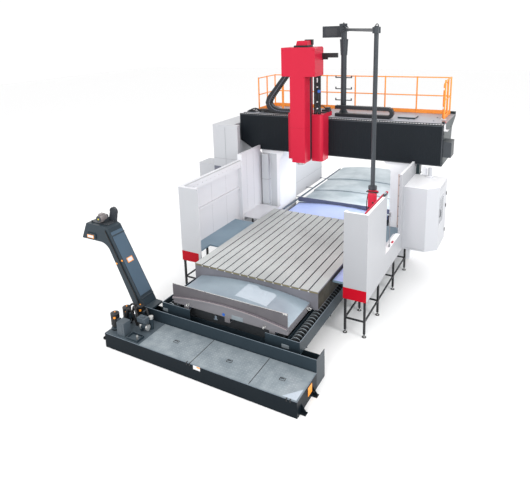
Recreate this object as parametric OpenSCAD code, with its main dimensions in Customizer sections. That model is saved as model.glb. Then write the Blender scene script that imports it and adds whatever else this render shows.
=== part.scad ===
// Double column machining center with a moving table, a cross slide and a vertical ram.
// Millimetres. X runs across the table, Y runs back along the bed, Z is up.
// The origin lies on the floor under the bed, level with the middle of the columns.

/* [Bed and table] */
// width of the bed casting
bed_w = 2300; // [2100:50:2400]
// height of the bed casting
bed_h = 620; // [580:10:640]
// width of the table
table_w = 3000; // [2900:20:3060]
// length of the table
table_l = 4000; // [3600:50:4000]
// thickness of the table with its apron
table_t = 404; // [380:2:420]
// height of the table's top face
table_top = 1136; // [1120:2:1160]
// front end of the table with the table forward
table_y = -5284; // [-5300:2:-5270]
// distance between tee slots
slot_pitch = 200; // [180:5:210]
// width of a tee slot's mouth
slot_w = 28; // [22:2:36]
// number of tee slots
slot_count = 14; // [10:1:14]

/* [Way covers] */
// half width of the outer front cover
front_half = 1330; // [1310:5:1350]
// half width of the outer rear cover
rear_half = 1480; // [1460:5:1490]
// height of the front cover's crown
front_crown = 1000; // [980:5:1020]
// height of the rear cover's crown
rear_crown = 950; // [930:5:960]
// rise of the crown over the sides
crown_rise = 125; // [90:5:140]
// lower edge of the cover boxes
cover_low = 725; // [715:5:735]
// sheet thickness of the covers
cover_t = 12; // [8:1:14]
// step from one cover to the next
cover_step = 25; // [24:1:28]
// front end of the outer front cover
front_cover_y = -6330; // [-6350:5:-6320]
// length of one sliding rear cover
rear_len = 1370; // [1350:5:1400]
// height of the front dam plate's top edge
front_dam = 1165; // [1140:5:1190]
// height of the rear dam plate's top edge
rear_dam = 1050; // [1030:5:1070]

/* [Columns and beam] */
// inner face of the columns
column_in = 1660; // [1640:10:1700]
// outer face of the columns
column_out = 2250; // [2200:10:2280]
// depth of the columns
column_d = 1140; // [1000:20:1160]
// inner edge of the column head
head_in = 1460; // [1400:10:1560]
// height of the column head's slope
head_h = 290; // [240:10:340]
// underside of the beam
beam_z = 2720; // [2700:10:2800]
// height of the beam
beam_h = 1054; // [1000:10:1100]
// half length of the beam
beam_half = 2950; // [2900:10:3000]
// front face of the beam
beam_y = -650; // [-670:5:-630]
// depth of the beam
beam_d = 1172; // [1100:10:1200]
// depth of the walkway behind the beam
deck_d = 720; // [600:20:800]
// right end of the cable chain's loop
chain_x1 = 1570; // [1500:10:1600]
// height of the guard rail
rail_h = 1020; // [950:10:1100]
// diameter of the rail tubes
rail_tube = 42; // [34:2:50]

/* [Saddle and ram] */
// middle of the saddle
saddle_x = -590; // [-620:5:-560]
// width of the saddle
saddle_w = 1020; // [980:10:1060]
// front face of the saddle's covers
saddle_y = -1100; // [-1120:5:-1080]
// lower edge of the saddle
saddle_low = 2650; // [2630:5:2680]
// upper edge of the saddle
saddle_top = 3960; // [3900:10:3980]
// width of the ram's cover
ram_w = 430; // [400:5:450]
// middle of the ram
ram_x = -615; // [-630:5:-600]
// front face of the ram's cover
ram_y = -1550; // [-1570:5:-1530]
// lower edge of the ram's cover
ram_low = 2680; // [2650:5:2720]
// width of the head box
head_w = 960; // [900:10:980]
// underside of the head box
head_z = 5022; // [5000:5:5060]
// height of the head box
head_box_h = 750; // [700:10:800]
// diameter of the balance rods
rod_d = 88; // [70:2:92]
// depth of the head box
head_d = 590; // [560:5:620]

/* [Swing arm] */
// middle of the pole
pole_x = 53; // [30:5:80]
// middle of the pole
pole_y = 180; // [160:5:200]
// diameter of the pole
pole_d = 160; // [140:5:180]
// height of the pole's top
pole_top = 6120; // [6080:10:6140]
// middle of the down tube
tube_x = 1930; // [1900:5:1960]
// middle of the down tube
tube_y = -3150; // [-3170:5:-3130]
// lower end of the down tube
tube_low = 2740; // [2700:10:2800]

/* [Chip handling] */
// outer face of the side troughs
trough_out = 1600; // [1590:5:1620]
// floor of the side troughs
trough_z = 430; // [425:5:440]
// upper edge of the side troughs
trough_top = 690; // [670:5:700]
// middle of the augers
auger_x = 1440; // [1430:5:1445]
// diameter of the augers
auger_d = 220; // [200:5:230]
// pitch of the augers
auger_pitch = 150; // [150:25:300]
// left end of the coolant tank
tank_x0 = -2320; // [-2340:10:-2300]
// right end of the coolant tank
tank_x1 = 2000; // [1980:10:2020]
// front of the coolant tank
tank_y0 = -7403; // [-7420:5:-7380]
// back of the coolant tank
tank_y1 = -6563; // [-6570:1:-6560]
// height of the coolant tank
tank_h = 318; // [300:2:330]
// back of the conveyor trough
conv_y1 = -6180; // [-6190:5:-6176]
// height of the conveyor trough
conv_h = 575; // [560:5:590]
// left foot of the conveyor's incline
conv_x = -2242; // [-2260:2:-2230]
// top of the conveyor's head
conv_top = 2232; // [2220:2:2260]

/* [Guards] */
// outer plane of the guards
guard_out = 2307; // [2300:1:2320]
// width of the guards' front posts
post_w = 491; // [460:5:491]
// front of the guards
guard_y = -4705; // [-4720:5:-4690]
// top of the guards
guard_top = 2693; // [2650:5:2720]
// top of the red band
band_top = 1058; // [1040:2:1070]
// lower edge of the guards
guard_low = 807; // [790:1:820]
// thickness of the guard walls
wall_t = 60; // [50:2:70]
// sill of the access opening
sill_top = 1300; // [1280:5:1320]
// front of the access opening
gap_y0 = -3320; // [-3340:5:-3300]
// back of the access opening
gap_y1 = -2020; // [-2040:5:-2000]
// place along the bed where the left guard steps up
guard_mid = -1950; // [-2000:10:-1900]
// height of the platforms
deck_top = 1040; // [1030:2:1050]

/* [Hidden] */
$fn = 48;
travel = 3900;
slide_gap = 0.3;
lip_h = 16;
rail_in = 100;
deck_in = table_w / 2 + 12;
rod_x = [saddle_x + 265, saddle_x + 375];
rod_y = saddle_y + 110;
leg_in = guard_out - 451;
leg_out = guard_out - 40;
leg_y = [guard_y + 40, guard_y + 1000, guard_y + 2291, guard_y + 3445];
magazine_z = 833;
table_y1 = table_y + table_l;
apron_z = table_top - table_t;
guide_x = 850;
guide_w = 160;
rail_z = bed_h + 45;
shell_gap = cover_step - cover_t;
front_end = table_y - 12;
crown_r = front_half * front_half / (2 * crown_rise) + crown_rise / 2;
rear_r = rear_half * rear_half / (2 * crown_rise) + crown_rise / 2;
rear_pitch = travel / 3;
rear_a = 240;
rear_b = rear_a + 30 - rear_pitch + 2 * rear_pitch;
rear_c = rear_a + 60 + 2 * rear_pitch;
rear_end = 4586;
beam_top = beam_z + beam_h;
beam_y1 = beam_y + beam_d;
rail_x0 = -beam_half + 320;
rail_x1 = beam_half - 150;
rail_y1 = beam_y1 + deck_d - 110;
left_rail_y = beam_y + 665;
right_rail_y = beam_y + 900;
chain_y = beam_y + 470;
saddle_x0 = saddle_x - saddle_w / 2;
saddle_x1 = saddle_x + saddle_w / 2;
ram_x0 = ram_x - ram_w / 2;
ram_x1 = ram_x + ram_w / 2;
ram_y1 = saddle_y - 10;
post_x = guard_out - post_w;
arm_angle = atan2(tube_y - pole_y, tube_x - pole_x);
arm_len = sqrt(pow(tube_y - pole_y, 2) + pow(tube_x - pole_x, 2));

module block(x0, x1, y0, y1, z0, z1) {
    translate([x0, y0, z0])
        cube([x1 - x0, y1 - y0, z1 - z0]);
}

module both_sides() {
    children();
    mirror([1, 0, 0])
        children();
}

module tube_x_way(x0, x1, y, z, d) {
    translate([x0, y, z])
        rotate([0, 90, 0])
            cylinder(d = d, h = x1 - x0, $fn = 20);
}

module tube_y_way(x, y0, y1, z, d) {
    translate([x, y0, z])
        rotate([-90, 0, 0])
            cylinder(d = d, h = y1 - y0, $fn = 20);
}

// outline of a crowned cover, k steps inside the outer one
module crown_shape(half, top, r, k) {
    intersection() {
        translate([0, top - r])
            circle(r = r - k * cover_step, $fn = 96);
        translate([-half + k * cover_step, cover_low])
            square([2 * (half - k * cover_step), top]);
    }
}

module inner_shape(half, top, r, k) {
    intersection() {
        translate([0, top - r])
            circle(r = r - k * cover_step - cover_t, $fn = 96);
        translate([-half + k * cover_step + cover_t, cover_low - 1])
            square([2 * (half - k * cover_step - cover_t), top]);
    }
}

module along_y(y0, y1) {
    translate([0, y1, 0])
        rotate([90, 0, 0])
            linear_extrude(height = y1 - y0)
                children();
}

// one open-bottomed cover with a wiping lip from y2 to y3 that reaches down to the next one
module shell(half, top, r, k, y0, y1, y2, y3) {
    along_y(y0, y1)
        difference() {
            crown_shape(half, top, r, k);
            inner_shape(half, top, r, k);
        }
    along_y(y2, y3)
        intersection() {
            difference() {
                translate([0, top - r])
                    circle(r = r - k * cover_step - cover_t + 2, $fn = 96);
                translate([0, top - r])
                    circle(r = r - (k + 1) * cover_step + slide_gap, $fn = 96);
            }
            translate([-half + (k + 1) * cover_step + 30, cover_low])
                square([2 * (half - (k + 1) * cover_step - 30), top]);
        }
}

module bed() {
    color("dimgray") {
        block(-bed_w / 2, bed_w / 2, conv_y1 + 40, rear_end - 30, 0, bed_h);
        both_sides()
            block(guide_x - guide_w / 2, guide_x + guide_w / 2, conv_y1 + 60, rear_end - 50,
                bed_h, rail_z);
    }
}

module troughs() {
    color("slategray")
        both_sides() {
            block(bed_w / 2, trough_out, conv_y1 - 20, rear_end, trough_z - 10, trough_z);
            block(trough_out - 10, trough_out, front_cover_y - 50, rear_end, trough_z, trough_top);
            block(trough_out - 320, trough_out - 310, front_cover_y - 50, rear_end, trough_z,
                trough_z + 170);
            block(trough_out - 720, trough_out, front_cover_y - 60, front_cover_y - 50,
                trough_z - 10, trough_top);
            for (i = [0 : 8])
                block(bed_w / 2, trough_out - 40, conv_y1 + 200 + i * 1250,
                    conv_y1 + 220 + i * 1250, trough_z - 110, trough_z - 10);
        }
}

// shaft with a flight whose half turns are flat and lean to and fro
module auger(turn) {
    y0 = front_cover_y + 20;
    ro = auger_d / 2;
    lean = atan2(auger_pitch / 4, ro);
    turns = floor((rear_end - y0 - 150) / auger_pitch);
    color("gray")
        translate([0, 0, trough_z + 10 + ro]) {
            tube_y_way(0, y0 - 69.7, y0 + turns * auger_pitch + 100, 0, 60);
            for (i = [0 : turns - 1])
                for (s = [-1, 1])
                    intersection() {
                        translate([0, y0 + (i + (s > 0 ? 0.25 : 0.75)) * auger_pitch, 0])
                            rotate([90 - s * turn * lean, 0, 0])
                                translate([0, 0, -5])
                                    cylinder(r = ro, h = 10);
                        translate([s > 0 ? -5 : -ro - 1, y0 + (i - 1) * auger_pitch, -ro - 1])
                            cube([ro + 6, 3 * auger_pitch, 2 * ro + 2]);
                    }
        }
}

module left_auger() {
    translate([-auger_x, 0, 0])
        auger(1);
}

module right_auger() {
    translate([auger_x, 0, 0])
        auger(-1);
}

module columns() {
    color("whitesmoke")
        both_sides() {
            block(column_in, column_out, -column_d / 2, column_d / 2, 0, beam_z - head_h);
            along_y(-column_d / 2, column_d / 2)
                polygon([[column_in, beam_z - head_h], [column_out, beam_z - head_h],
                    [column_out + 14, beam_z], [head_in, beam_z]]);
        }
}

module crossbeam() {
    color("darkslategray") {
        difference() {
            block(-beam_half, beam_half, beam_y + 60, beam_y1, beam_z, beam_top);
            along_y(beam_y + 50, beam_y1 + 10)
                beam_corner();
        }
        block(-beam_half + 60, beam_half - 60, beam_y + 120, beam_y + 220, beam_top,
            beam_top + 30);
        block(beam_half - 1310, beam_half - 850, beam_y1 - 460, beam_y1 - 40, beam_top,
            beam_top + 40);
    }
}

module beam_cover() {
    color("black") {
        difference() {
            block(-beam_half, beam_half, beam_y, beam_y + 60, beam_z, beam_top);
            along_y(beam_y - 10, beam_y + 70)
                beam_corner();
        }
        block(-beam_half, beam_half, beam_y + 8, beam_y + 56, beam_top, beam_top + lip_h);
    }
}

module beam_end_box() {
    color("darkgray")
        block(beam_half, beam_half + 200, beam_y + 37, beam_y + 495, beam_z + 239,
            beam_z + 636);
}

module beam_deck() {
    color("dimgray") {
        block(-beam_half, beam_half, beam_y1, beam_y1 + deck_d, beam_top - 54, beam_top);
        block(-beam_half, beam_half, beam_y1 + deck_d - 10, beam_y1 + deck_d, beam_top,
            beam_top + 76);
        for (i = [0 : 4])
            along_x((beam_half - 10) * (i - 2) / 2 - 10, (beam_half - 10) * (i - 2) / 2 + 10)
                polygon([[beam_y1, beam_z + 10], [beam_y1 + 178, beam_top - 259],
                    [beam_y1 + deck_d - 6, beam_top - 54], [beam_y1, beam_top - 54]]);
    }
}

module along_x(x0, x1) {
    translate([x0, 0, 0])
        rotate([90, 0, 90])
            linear_extrude(height = x1 - x0)
                children();
}

module railing() {
    color("orange")
        rail_x(rail_x0, rail_x1, rail_y1,
            [for (i = [0 : 6]) rail_x0 + (rail_x1 - rail_x0) * i / 6]);
}

module beam_chain() {
    r = 155;
    color("black") {
        block(-2500, -1250, chain_y, chain_y + 140, beam_top, beam_top + 90);
        along_y(chain_y, chain_y + 140)
            difference() {
                union() {
                    translate([-50, beam_top])
                        square([chain_x1 - r + 50, 2 * r]);
                    translate([chain_x1 - r, beam_top + r])
                        circle(r = r);
                }
                translate([-60, beam_top + 90])
                    square([chain_x1 - r + 60, 2 * r - 180]);
                translate([chain_x1 - r, beam_top + r])
                    circle(r = r - 90);
            }
    }
}

module pole() {
    color("dimgray")
        translate([pole_x, pole_y, beam_top]) {
            cylinder(d = 360, h = 24);
            translate([0, 0, 24])
                cylinder(d1 = 300, d2 = pole_d + 10, h = 130);
            cylinder(d = pole_d, h = pole_top - beam_top);
            translate([0, 0, pole_top - beam_top - 650])
                cylinder(d1 = pole_d + 26, d2 = pole_d + 75, h = 445);
            for (z = [409, 732, 1055]) {
                translate([-245, -16, z])
                    cube([490, 32, 26]);
                for (s = [-1, 1])
                    translate([s * 232 - 13, -16, z + 20])
                        cube([26, 32, 50]);
            }
        }
}

module coolant_tank() {
    color("slategray") {
        difference() {
            block(tank_x0, tank_x1, tank_y0, tank_y1, 0, tank_h);
            block(tank_x0 + 12, tank_x1 - 12, tank_y0 + 12, tank_y1 - 12, 12, tank_h + 1);
        }
        for (i = [1 : 3])
            block(lid_x(i) - 6, lid_x(i) + 6, tank_y0 + 12, tank_y1 - 12, 12, tank_h - 8);
        for (y = [tank_y0 + 170, tank_y1 - 180])
            along_y(y, y + 12)
                polygon([[tank_x1, 0], [tank_x1 + 100, 0], [tank_x1 + 100, 22],
                    [tank_x1, 170]]);
        block(tank_x1, tank_x1 + 100, tank_y0 + 120, tank_y0 + 220, 0, 12);
        block(tank_x1, tank_x1 + 100, tank_y1 - 230, tank_y1 - 130, 0, 12);
        block(tank_x0 - 90, tank_x0, tank_y0 + 120, tank_y0 + 220, 0, 12);
        along_y(tank_y0 + 164, tank_y0 + 176)
            polygon([[tank_x0, 0], [tank_x0 - 90, 0], [tank_x0 - 90, 22], [tank_x0, 150]]);
    }
}

module tank_lids() {
    color("lightsteelblue")
        for (i = [1 : 3]) {
            x1 = i < 3 ? lid_x(i + 1) - 2 : tank_x1 - 14;
            block(lid_x(i) + 2, x1, tank_y0 + 14, tank_y1 - 14, tank_h - 8, tank_h + 6);
        }
}

module pumps() {
    color("black") {
        block(tank_x0 + 14, lid_x(1) - 2, tank_y0 + 14, tank_y1 - 14, tank_h - 8, tank_h + 6);
        for (p = [[80, 233], [140, 523], [360, 700]])
            translate([tank_x0 + p[0] + 20, tank_y0 + p[1], tank_h]) {
                cylinder(d = 190, h = 40);
                cylinder(d = 130, h = 120);
                translate([0, 0, 90])
                    cylinder(d = 160, h = 230);
                translate([0, 0, 320])
                    cylinder(d = 176, h = 40);
                translate([60, -40, 150])
                    cube([70, 80, 110]);
            }
        block(tank_x0 + 300, tank_x0 + 490, tank_y0 + 60, tank_y0 + 260, tank_h, tank_h + 300);
        difference() {
            block(tank_x0 + 560, tank_x0 + 850, tank_y0 + 40, tank_y0 + 240, tank_h,
                tank_h + 60);
            block(tank_x0 + 568, tank_x0 + 842, tank_y0 + 48, tank_y0 + 232, tank_h + 14,
                tank_h + 61);
        }
        translate([tank_x0 + 640, tank_y0 + 420, tank_h]) {
            cylinder(d = 70, h = 240);
            translate([0, 0, 120])
                rotate([0, 90, 0])
                    cylinder(d = 110, h = 170);
        }
        block(tank_x0 + 590, tank_x0 + 800, tank_y0 + 350, tank_y0 + 480, tank_h + 235,
            tank_h + 330);
        translate([tank_x0 + 780, tank_y0 + 560, tank_h])
            cylinder(d = 90, h = 280);
    }
}

module chip_conveyor() {
    y0 = tank_y1 + slide_gap;
    foot = conv_x + 298;
    color("slategray") {
        block(foot, tank_x1, y0, y0 + 10, 0, conv_h);
        block(foot, tank_x1, conv_y1 - 10, conv_y1, 0, trough_z - 10 - slide_gap);
        block(foot, tank_x1, y0 + 10, conv_y1 - 10, 0, 60);
        block(tank_x1 - 10, tank_x1, y0 + 10, conv_y1 - 10, 60, conv_h);
        along_y(y0 + 14, conv_y1 - 14)
            conveyor_side();
        for (y = [y0, conv_y1 - 14])
            along_y(y, y + 14)
                conveyor_side();
        for (s = [0.1, 0.9])
            translate([foot + s * (conv_x - 572 - foot), 0,
                    conv_h - 10 + s * (2208 - conv_h)])
                rotate([0, -61.9, 0])
                    block(-15, 15, y0, conv_y1, -8, 12);
        block(foot - 20, foot + 180, y0 + 10, conv_y1 - 10, conv_h - 40, conv_h);
    }
}

module conveyor_drive() {
    y0 = tank_y1 + 130;
    x = conv_x - 900;
    color("dimgray") {
        block(x - 260, x + 250, y0 - 40, y0 + 190, conv_top, conv_top + 18);
        translate([x, y0 - 60, conv_top + 118])
            rotate([-90, 0, 0]) {
                cylinder(d = 150, h = 190);
                cylinder(d = 90, h = 250);
            }
        block(x - 70, x + 70, y0 + 40, y0 + 180, conv_top + 18, conv_top + 118);
        translate([x - 40, y0 + 40, conv_top + 118])
            cube([120, 110, 110]);
        along_y(y0 + 186, y0 + 246)
            union() {
                translate([x + 375, conv_top + 310])
                    circle(r = 113);
                translate([x + 200, conv_top + 60])
                    rotate([0, 0, -35])
                        square([150, 330]);
                polygon([[x - 90, conv_top], [x + 200, conv_top], [x + 488, conv_top + 310],
                    [x + 262, conv_top + 310], [x - 90, conv_top + 180]]);
            }
    }
}

module left_guard() {
    color("whitesmoke") {
        block(-guard_out, -post_x, guard_y, guard_y + wall_t, guard_low, guard_top);
        guard_side(-guard_out, -guard_out + wall_t, guard_y + wall_t, guard_mid, -1);
        block(-guard_out + wall_t, -guard_out + wall_t + 120, guard_mid - 100, guard_mid,
            guard_low, guard_top);
        block(-post_x - 60, -post_x, guard_y + wall_t, guard_y + wall_t + 60, guard_low,
            guard_top);
    }
}

module left_high_guard() {
    color("whitesmoke") {
        block(-guard_out, -guard_out + wall_t, guard_mid, beam_y - 40, guard_low,
            guard_top + 160);
        along_x(-guard_out, -guard_out + wall_t)
            polygon([[beam_y - 40, guard_low], [-column_d / 2, guard_low],
                [-column_d / 2, guard_top - 120], [beam_y - 40, guard_top - 20]]);
        block(-guard_out + wall_t, -guard_out + wall_t + 90, guard_mid, guard_mid + 30,
            guard_low, guard_top + 160);
        block(-guard_out + wall_t, -deck_in, guard_mid, -800, deck_top - 40,
            deck_top - 20);
        block(-deck_in - 30, -deck_in, guard_mid, -800, deck_top - 20, deck_top + 20);
    }
}

module right_guard() {
    color("whitesmoke") {
        block(post_x, guard_out, guard_y, guard_y + wall_t, guard_low, guard_top);
        block(post_x, post_x + 60, guard_y + wall_t, guard_y + wall_t + 60, guard_low,
            guard_top);
        block(guard_out - wall_t, guard_out, guard_y + wall_t, gap_y0, guard_low, guard_top);
        block(guard_out - wall_t, guard_out, gap_y0, gap_y1, guard_low, sill_top);
        block(guard_out - wall_t, guard_out, gap_y1, beam_y - 40, guard_low,
            guard_top + 107);
        block(guard_out - wall_t, guard_out, beam_y - 40, -column_d / 2, guard_low,
            guard_top);
        block(guard_out - wall_t - 50, guard_out - wall_t, guard_y + wall_t, gap_y1,
            sill_top - 30, sill_top);
    }
}

module rear_guards() {
    color("whitesmoke")
        both_sides() {
            along_x(post_x, post_x + wall_t)
                polygon([[column_d / 2, guard_low], [3173, guard_low], [3173, 1657],
                    [column_d / 2, 2167]]);
            for (y = [column_d / 2 + 900, column_d / 2 + 1800, 3113])
                block(post_x + wall_t, post_x + wall_t + 50, y, y + 60, guard_low, 1600);
        }
}

module guard_bands() {
    color("crimson")
        both_sides()
            block(post_x, guard_out, guard_y - 4, guard_y, guard_low, band_top);
}

module platforms() {
    color("lightslategray") {
        block(-guard_out + wall_t, -deck_in, -4087, -2290, deck_top - 40, deck_top);
        block(-guard_out + wall_t, -1900, -4640, -4087, deck_top - 40, deck_top);
        block(deck_in, guard_out - wall_t, -4500, -1000, deck_top - 40, deck_top);
    }
}

module tall_cabinet() {
    color("whitesmoke") {
        block(-3646, -2764, -1150, beam_y - 10, 0, 3494);
        block(-3646, -beam_half - 25, beam_y - 10, 400, 0, 3494);
    }
}

module small_cabinet() {
    color("whitesmoke")
        block(-4393, -3646, -900, -300, 0, 2160);
}

module magazine_housing() {
    color("whitesmoke") {
        along_z(magazine_z, 2440)
            polygon([[guard_out, -1793], [2847, -1793], [3097, -1543], [3097, -580],
                [guard_out, -580]]);
        translate([2690, -670, 2440])
            cylinder(d = 100, h = 240);
        translate([2690, -705, 2440])
            cylinder(d = 200, h = 16);
        block(3097, 3103, -1538, -1000, 1420, 2190);
    }
}

module along_z(z0, z1) {
    translate([0, 0, z0])
        linear_extrude(height = z1 - z0)
            children();
}

module magazine_window() {
    color("black")
        block(3103, 3108, -1500, -1050, 1480, 2130);
}

module front_cover() {
    color("lightsteelblue") {
        shell(front_half, front_crown, crown_r, 0, front_cover_y, front_end, front_end - 20,
            front_end);
        along_y(front_cover_y, front_cover_y + 12)
            crown_shape(front_half, front_crown, crown_r, 0);
        crown_ridge(0.2, 1.2, 50);
        crown_ridge(1.2, 2.4, 30);
        for (x = [-1000, 0, 1000]) {
            block(x - 60, x + 60, front_cover_y, front_cover_y + 12, bed_h, cover_low);
            block(x - 60, x + 60, front_cover_y, conv_y1 + 55, bed_h, bed_h + 12);
        }
        along_y(front_cover_y, front_cover_y + 12)
            difference() {
                translate([-front_half, cover_low])
                    square([2 * front_half, front_dam - cover_low]);
                crown_shape(front_half, front_crown, crown_r, 0);
            }
    }
}

module front_cover_a() {
    color("lightsteelblue")
        shell(front_half, front_crown, crown_r, 1, front_cover_y + 25, front_end,
            front_end - 20, front_end);
}

module front_cover_b() {
    color("lightsteelblue")
        shell(front_half, front_crown, crown_r, 2, front_cover_y + 25, front_end,
            front_end - 20, front_end);
}

module front_cover_c() {
    color("lightsteelblue")
        shell(front_half, front_crown, crown_r, 3, front_cover_y + 25, front_end,
            front_end - 20, front_end);
}

module rear_cover() {
    color("lightsteelblue") {
        shell(rear_half, rear_crown + 3 * cover_step, rear_r, 0, rear_c, rear_end, rear_c,
            rear_c + 20);
        along_y(rear_end - 12, rear_end)
            crown_shape(rear_half, rear_crown + 3 * cover_step, rear_r, 0);
        for (x = [-1000, 0, 1000]) {
            block(x - 60, x + 60, rear_end - 12, rear_end, bed_h, cover_low);
            block(x - 60, x + 60, rear_end - 45, rear_end, bed_h, bed_h + 12);
        }
    }
}

module rear_cover_b() {
    color("lightsteelblue")
        shell(rear_half, rear_crown + 3 * cover_step, rear_r, 1, rear_b, rear_b + rear_len,
            rear_b, rear_b + 20);
}

module rear_cover_a() {
    color("lightsteelblue") {
        shell(rear_half, rear_crown + 3 * cover_step, rear_r, 2, rear_a, rear_a + rear_len,
            rear_a, rear_a + 20);
        along_y(rear_a, rear_a + 10)
            difference() {
                translate([-rear_half, rear_crown + 3 * cover_step - crown_rise])
                    square([2 * rear_half, rear_dam - rear_crown - 3 * cover_step + crown_rise]);
                crown_shape(rear_half, rear_crown + 3 * cover_step, rear_r, 2);
                translate([-rear_half - 1, cover_low])
                    square([2 * cover_step + 1.01, 500]);
            }
    }
}

module table_covers() {
    color("lightsteelblue") {
        along_y(front_cover_y + 25, table_y)
            difference() {
                crown_shape(front_half, front_crown, crown_r, 4);
                inner_shape(front_half, front_crown, crown_r, 4);
            }
        along_y(table_y1, rear_a + 50)
            difference() {
                crown_shape(rear_half, rear_crown + 3 * cover_step, rear_r, 3);
                inner_shape(rear_half, rear_crown + 3 * cover_step, rear_r, 3);
            }
    }
}

module table() {
    x0 = -(slot_count - 1) * slot_pitch / 2;
    color("silver")
        difference() {
            union() {
                block(-table_w / 2, table_w / 2, table_y, table_y1, apron_z, table_top);
                both_sides()
                    block(guide_x - guide_w / 2 - 40, guide_x + guide_w / 2 + 40, table_y,
                        table_y1, rail_z + slide_gap, apron_z);
            }
            for (i = [0 : slot_count - 1])
                translate([x0 + i * slot_pitch, 0, 0]) {
                    block(-slot_w / 2, slot_w / 2, table_y - 1, table_y1 + 1, table_top - 50,
                        table_top + 1);
                    block(-slot_w, slot_w, table_y - 1, table_y1 + 1, table_top - 50,
                        table_top - 28);
                }
        }
}

module saddle() {
    r = 90;
    color("crimson") {
        block(saddle_x0, ram_x0 - 12, saddle_y, beam_y - 10, saddle_low, saddle_top);
        difference() {
            along_z(saddle_low, saddle_top)
                union() {
                    translate([ram_x1 + 12, saddle_y])
                        square([saddle_x1 - ram_x1 - 12 - r, beam_y - 10 - saddle_y]);
                    translate([ram_x1 + 12, saddle_y + r])
                        square([saddle_x1 - ram_x1 - 12, beam_y - 10 - saddle_y - r]);
                    translate([saddle_x1 - r, saddle_y + r])
                        circle(r = r);
                }
            for (x = rod_x)
                translate([x, rod_y, saddle_low + 100])
                    cylinder(d = rod_d + 12, h = saddle_top - saddle_low);
        }
        block(ram_x0 - 12, ram_x1 + 12, saddle_y + 200, beam_y - 10, saddle_low, saddle_top);
        block(saddle_x0, saddle_x1, beam_y - 10, beam_y + 260, beam_top + 70, saddle_top);
        block(saddle_x0 + 100, saddle_x0 + 400, beam_y + 110, beam_y + 230,
            beam_top + 30 + slide_gap, beam_top + 70);
        block(saddle_x1 - 400, saddle_x1 - 100, beam_y + 110, beam_y + 230,
            beam_top + 30 + slide_gap, beam_top + 70);
    }
}

// band of the saddle's cable chain, from the head down, round and back over the beam
module saddle_chain() {
    color("black")
        along_y(beam_y + 60, beam_y + 200)
            polygon([[saddle_x0, saddle_top - 60], [saddle_x0, saddle_top],
                [saddle_x0 - 330, saddle_top], [saddle_x0 - 560, saddle_top + 20],
                [saddle_x0 - 720, saddle_top + 80], [saddle_x0 - 830, saddle_top + 190],
                [saddle_x0 - 810, saddle_top + 300], [saddle_x0 - 230, saddle_top + 985],
                [saddle_x0 - 360, saddle_top + 1040], [saddle_x0 - 930, saddle_top + 350],
                [saddle_x0 - 985, saddle_top + 180], [saddle_x0 - 940, saddle_top + 30],
                [saddle_x0 - 830, saddle_top - 70], [saddle_x0 - 640, saddle_top - 110]]);
}

module ram() {
    color("crimson") {
        difference() {
            block(ram_x0, ram_x1, ram_y, ram_y1, ram_low, head_z);
            block(ram_x0 - 1, ram_x0 + 45, ram_y - 1, ram_y + 200, ram_low - 1, ram_low + 130);
        }
        block(ram_x0 + 40, ram_x1 - 40, ram_y1, saddle_y + 200 - slide_gap, ram_low + 20,
            head_z);
    }
}

module head_box() {
    x0 = saddle_x - head_w / 2;
    x1 = saddle_x + head_w / 2;
    z1 = head_z + head_box_h;
    color("crimson") {
        along_y(ram_y, ram_y + head_d)
            polygon([[x0, head_z], [x1, head_z], [x1, z1 - 40], [x1 - 30, z1], [x0, z1]]);
        along_y(ram_y + 120, ram_y + 380)
            polygon([[-695, z1 + 50], [-365, z1 + 50], [-385, z1 + 165], [-660, z1 + 165]]);
    }
}

module ram_drive() {
    z = head_z + head_box_h;
    color("black") {
        block(-735, -345, ram_y + 80, ram_y + 440, z, z + 50);
        block(-560, -350, ram_y + 380, ram_y + 500, z + 50, z + 190);
        block(saddle_x + head_w / 2, 317, ram_y + head_d - 90, ram_y + head_d - 30,
            z - 290, z - 170);
        block(saddle_x + head_w / 2, saddle_x + head_w / 2 + 150, ram_y + head_d - 80,
            ram_y + head_d - 40, z - 340, z - 290);
    }
}

module spindle() {
    color("silver")
        translate([ram_x, (ram_y + ram_y1) / 2, ram_low])
            difference() {
                union() {
                    translate([0, 0, -40])
                        cylinder(d = 300, h = 40);
                    translate([0, 0, -90])
                        cylinder(d = 200, h = 60);
                }
                translate([0, 0, -91])
                    cylinder(d = 70, h = 82);
            }
}

module pendant_arm() {
    color("dimgray") {
        translate([pole_x, pole_y, pole_top + slide_gap])
            cylinder(d = 240, h = 120);
        translate([pole_x, pole_y, pole_top + 20])
            rotate([0, 0, arm_angle]) {
                translate([60, -40, 0])
                    cube([arm_len - 60, 80, 70]);
                translate([100, 25, 70])
                    rotate([90, 0, 0])
                        linear_extrude(height = 50)
                            polygon([[0, 0], [420, 0], [0, 60]]);
            }
        translate([tube_x, tube_y, tube_low])
            cylinder(d = 96, h = pole_top + 55 - tube_low);
        translate([tube_x, tube_y, pole_top - 10])
            cylinder(d = 170, h = 130);
        translate([tube_x, tube_y, tube_low])
            cylinder(d = 190, h = 60);
        block(pole_x - 693, pole_x - 133, 300, 600, pole_top - 160, pole_top + 160);
        block(pole_x - 143, pole_x + 22, 370, 450, pole_top + 30, pole_top + 80);
        block(pole_x - 38, pole_x + 32, 200, 460, pole_top + 35, pole_top + 85);
    }
}

// housing under the down tube with the control panel hanging from it
module control_station() {
    color("crimson") {
        translate([tube_x, tube_y, tube_low - slide_gap - 30])
            cylinder(d = 170, h = 30);
        along_y(tube_y - 90, tube_y + 90)
            polygon([[tube_x - 95, 2150], [tube_x + 95, 2150],
                [tube_x + 95, tube_low - 90], [tube_x + 70, tube_low - slide_gap - 30],
                [tube_x - 70, tube_low - slide_gap - 30], [tube_x - 95, tube_low - 90]]);
        along_y(tube_y - 200, tube_y + 200)
            polygon([[tube_x - 60, 1520], [tube_x + 40, 1520], [tube_x + 60, 1620],
                [tube_x + 60, 2150], [tube_x - 60, 2150]]);
    }
}

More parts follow.
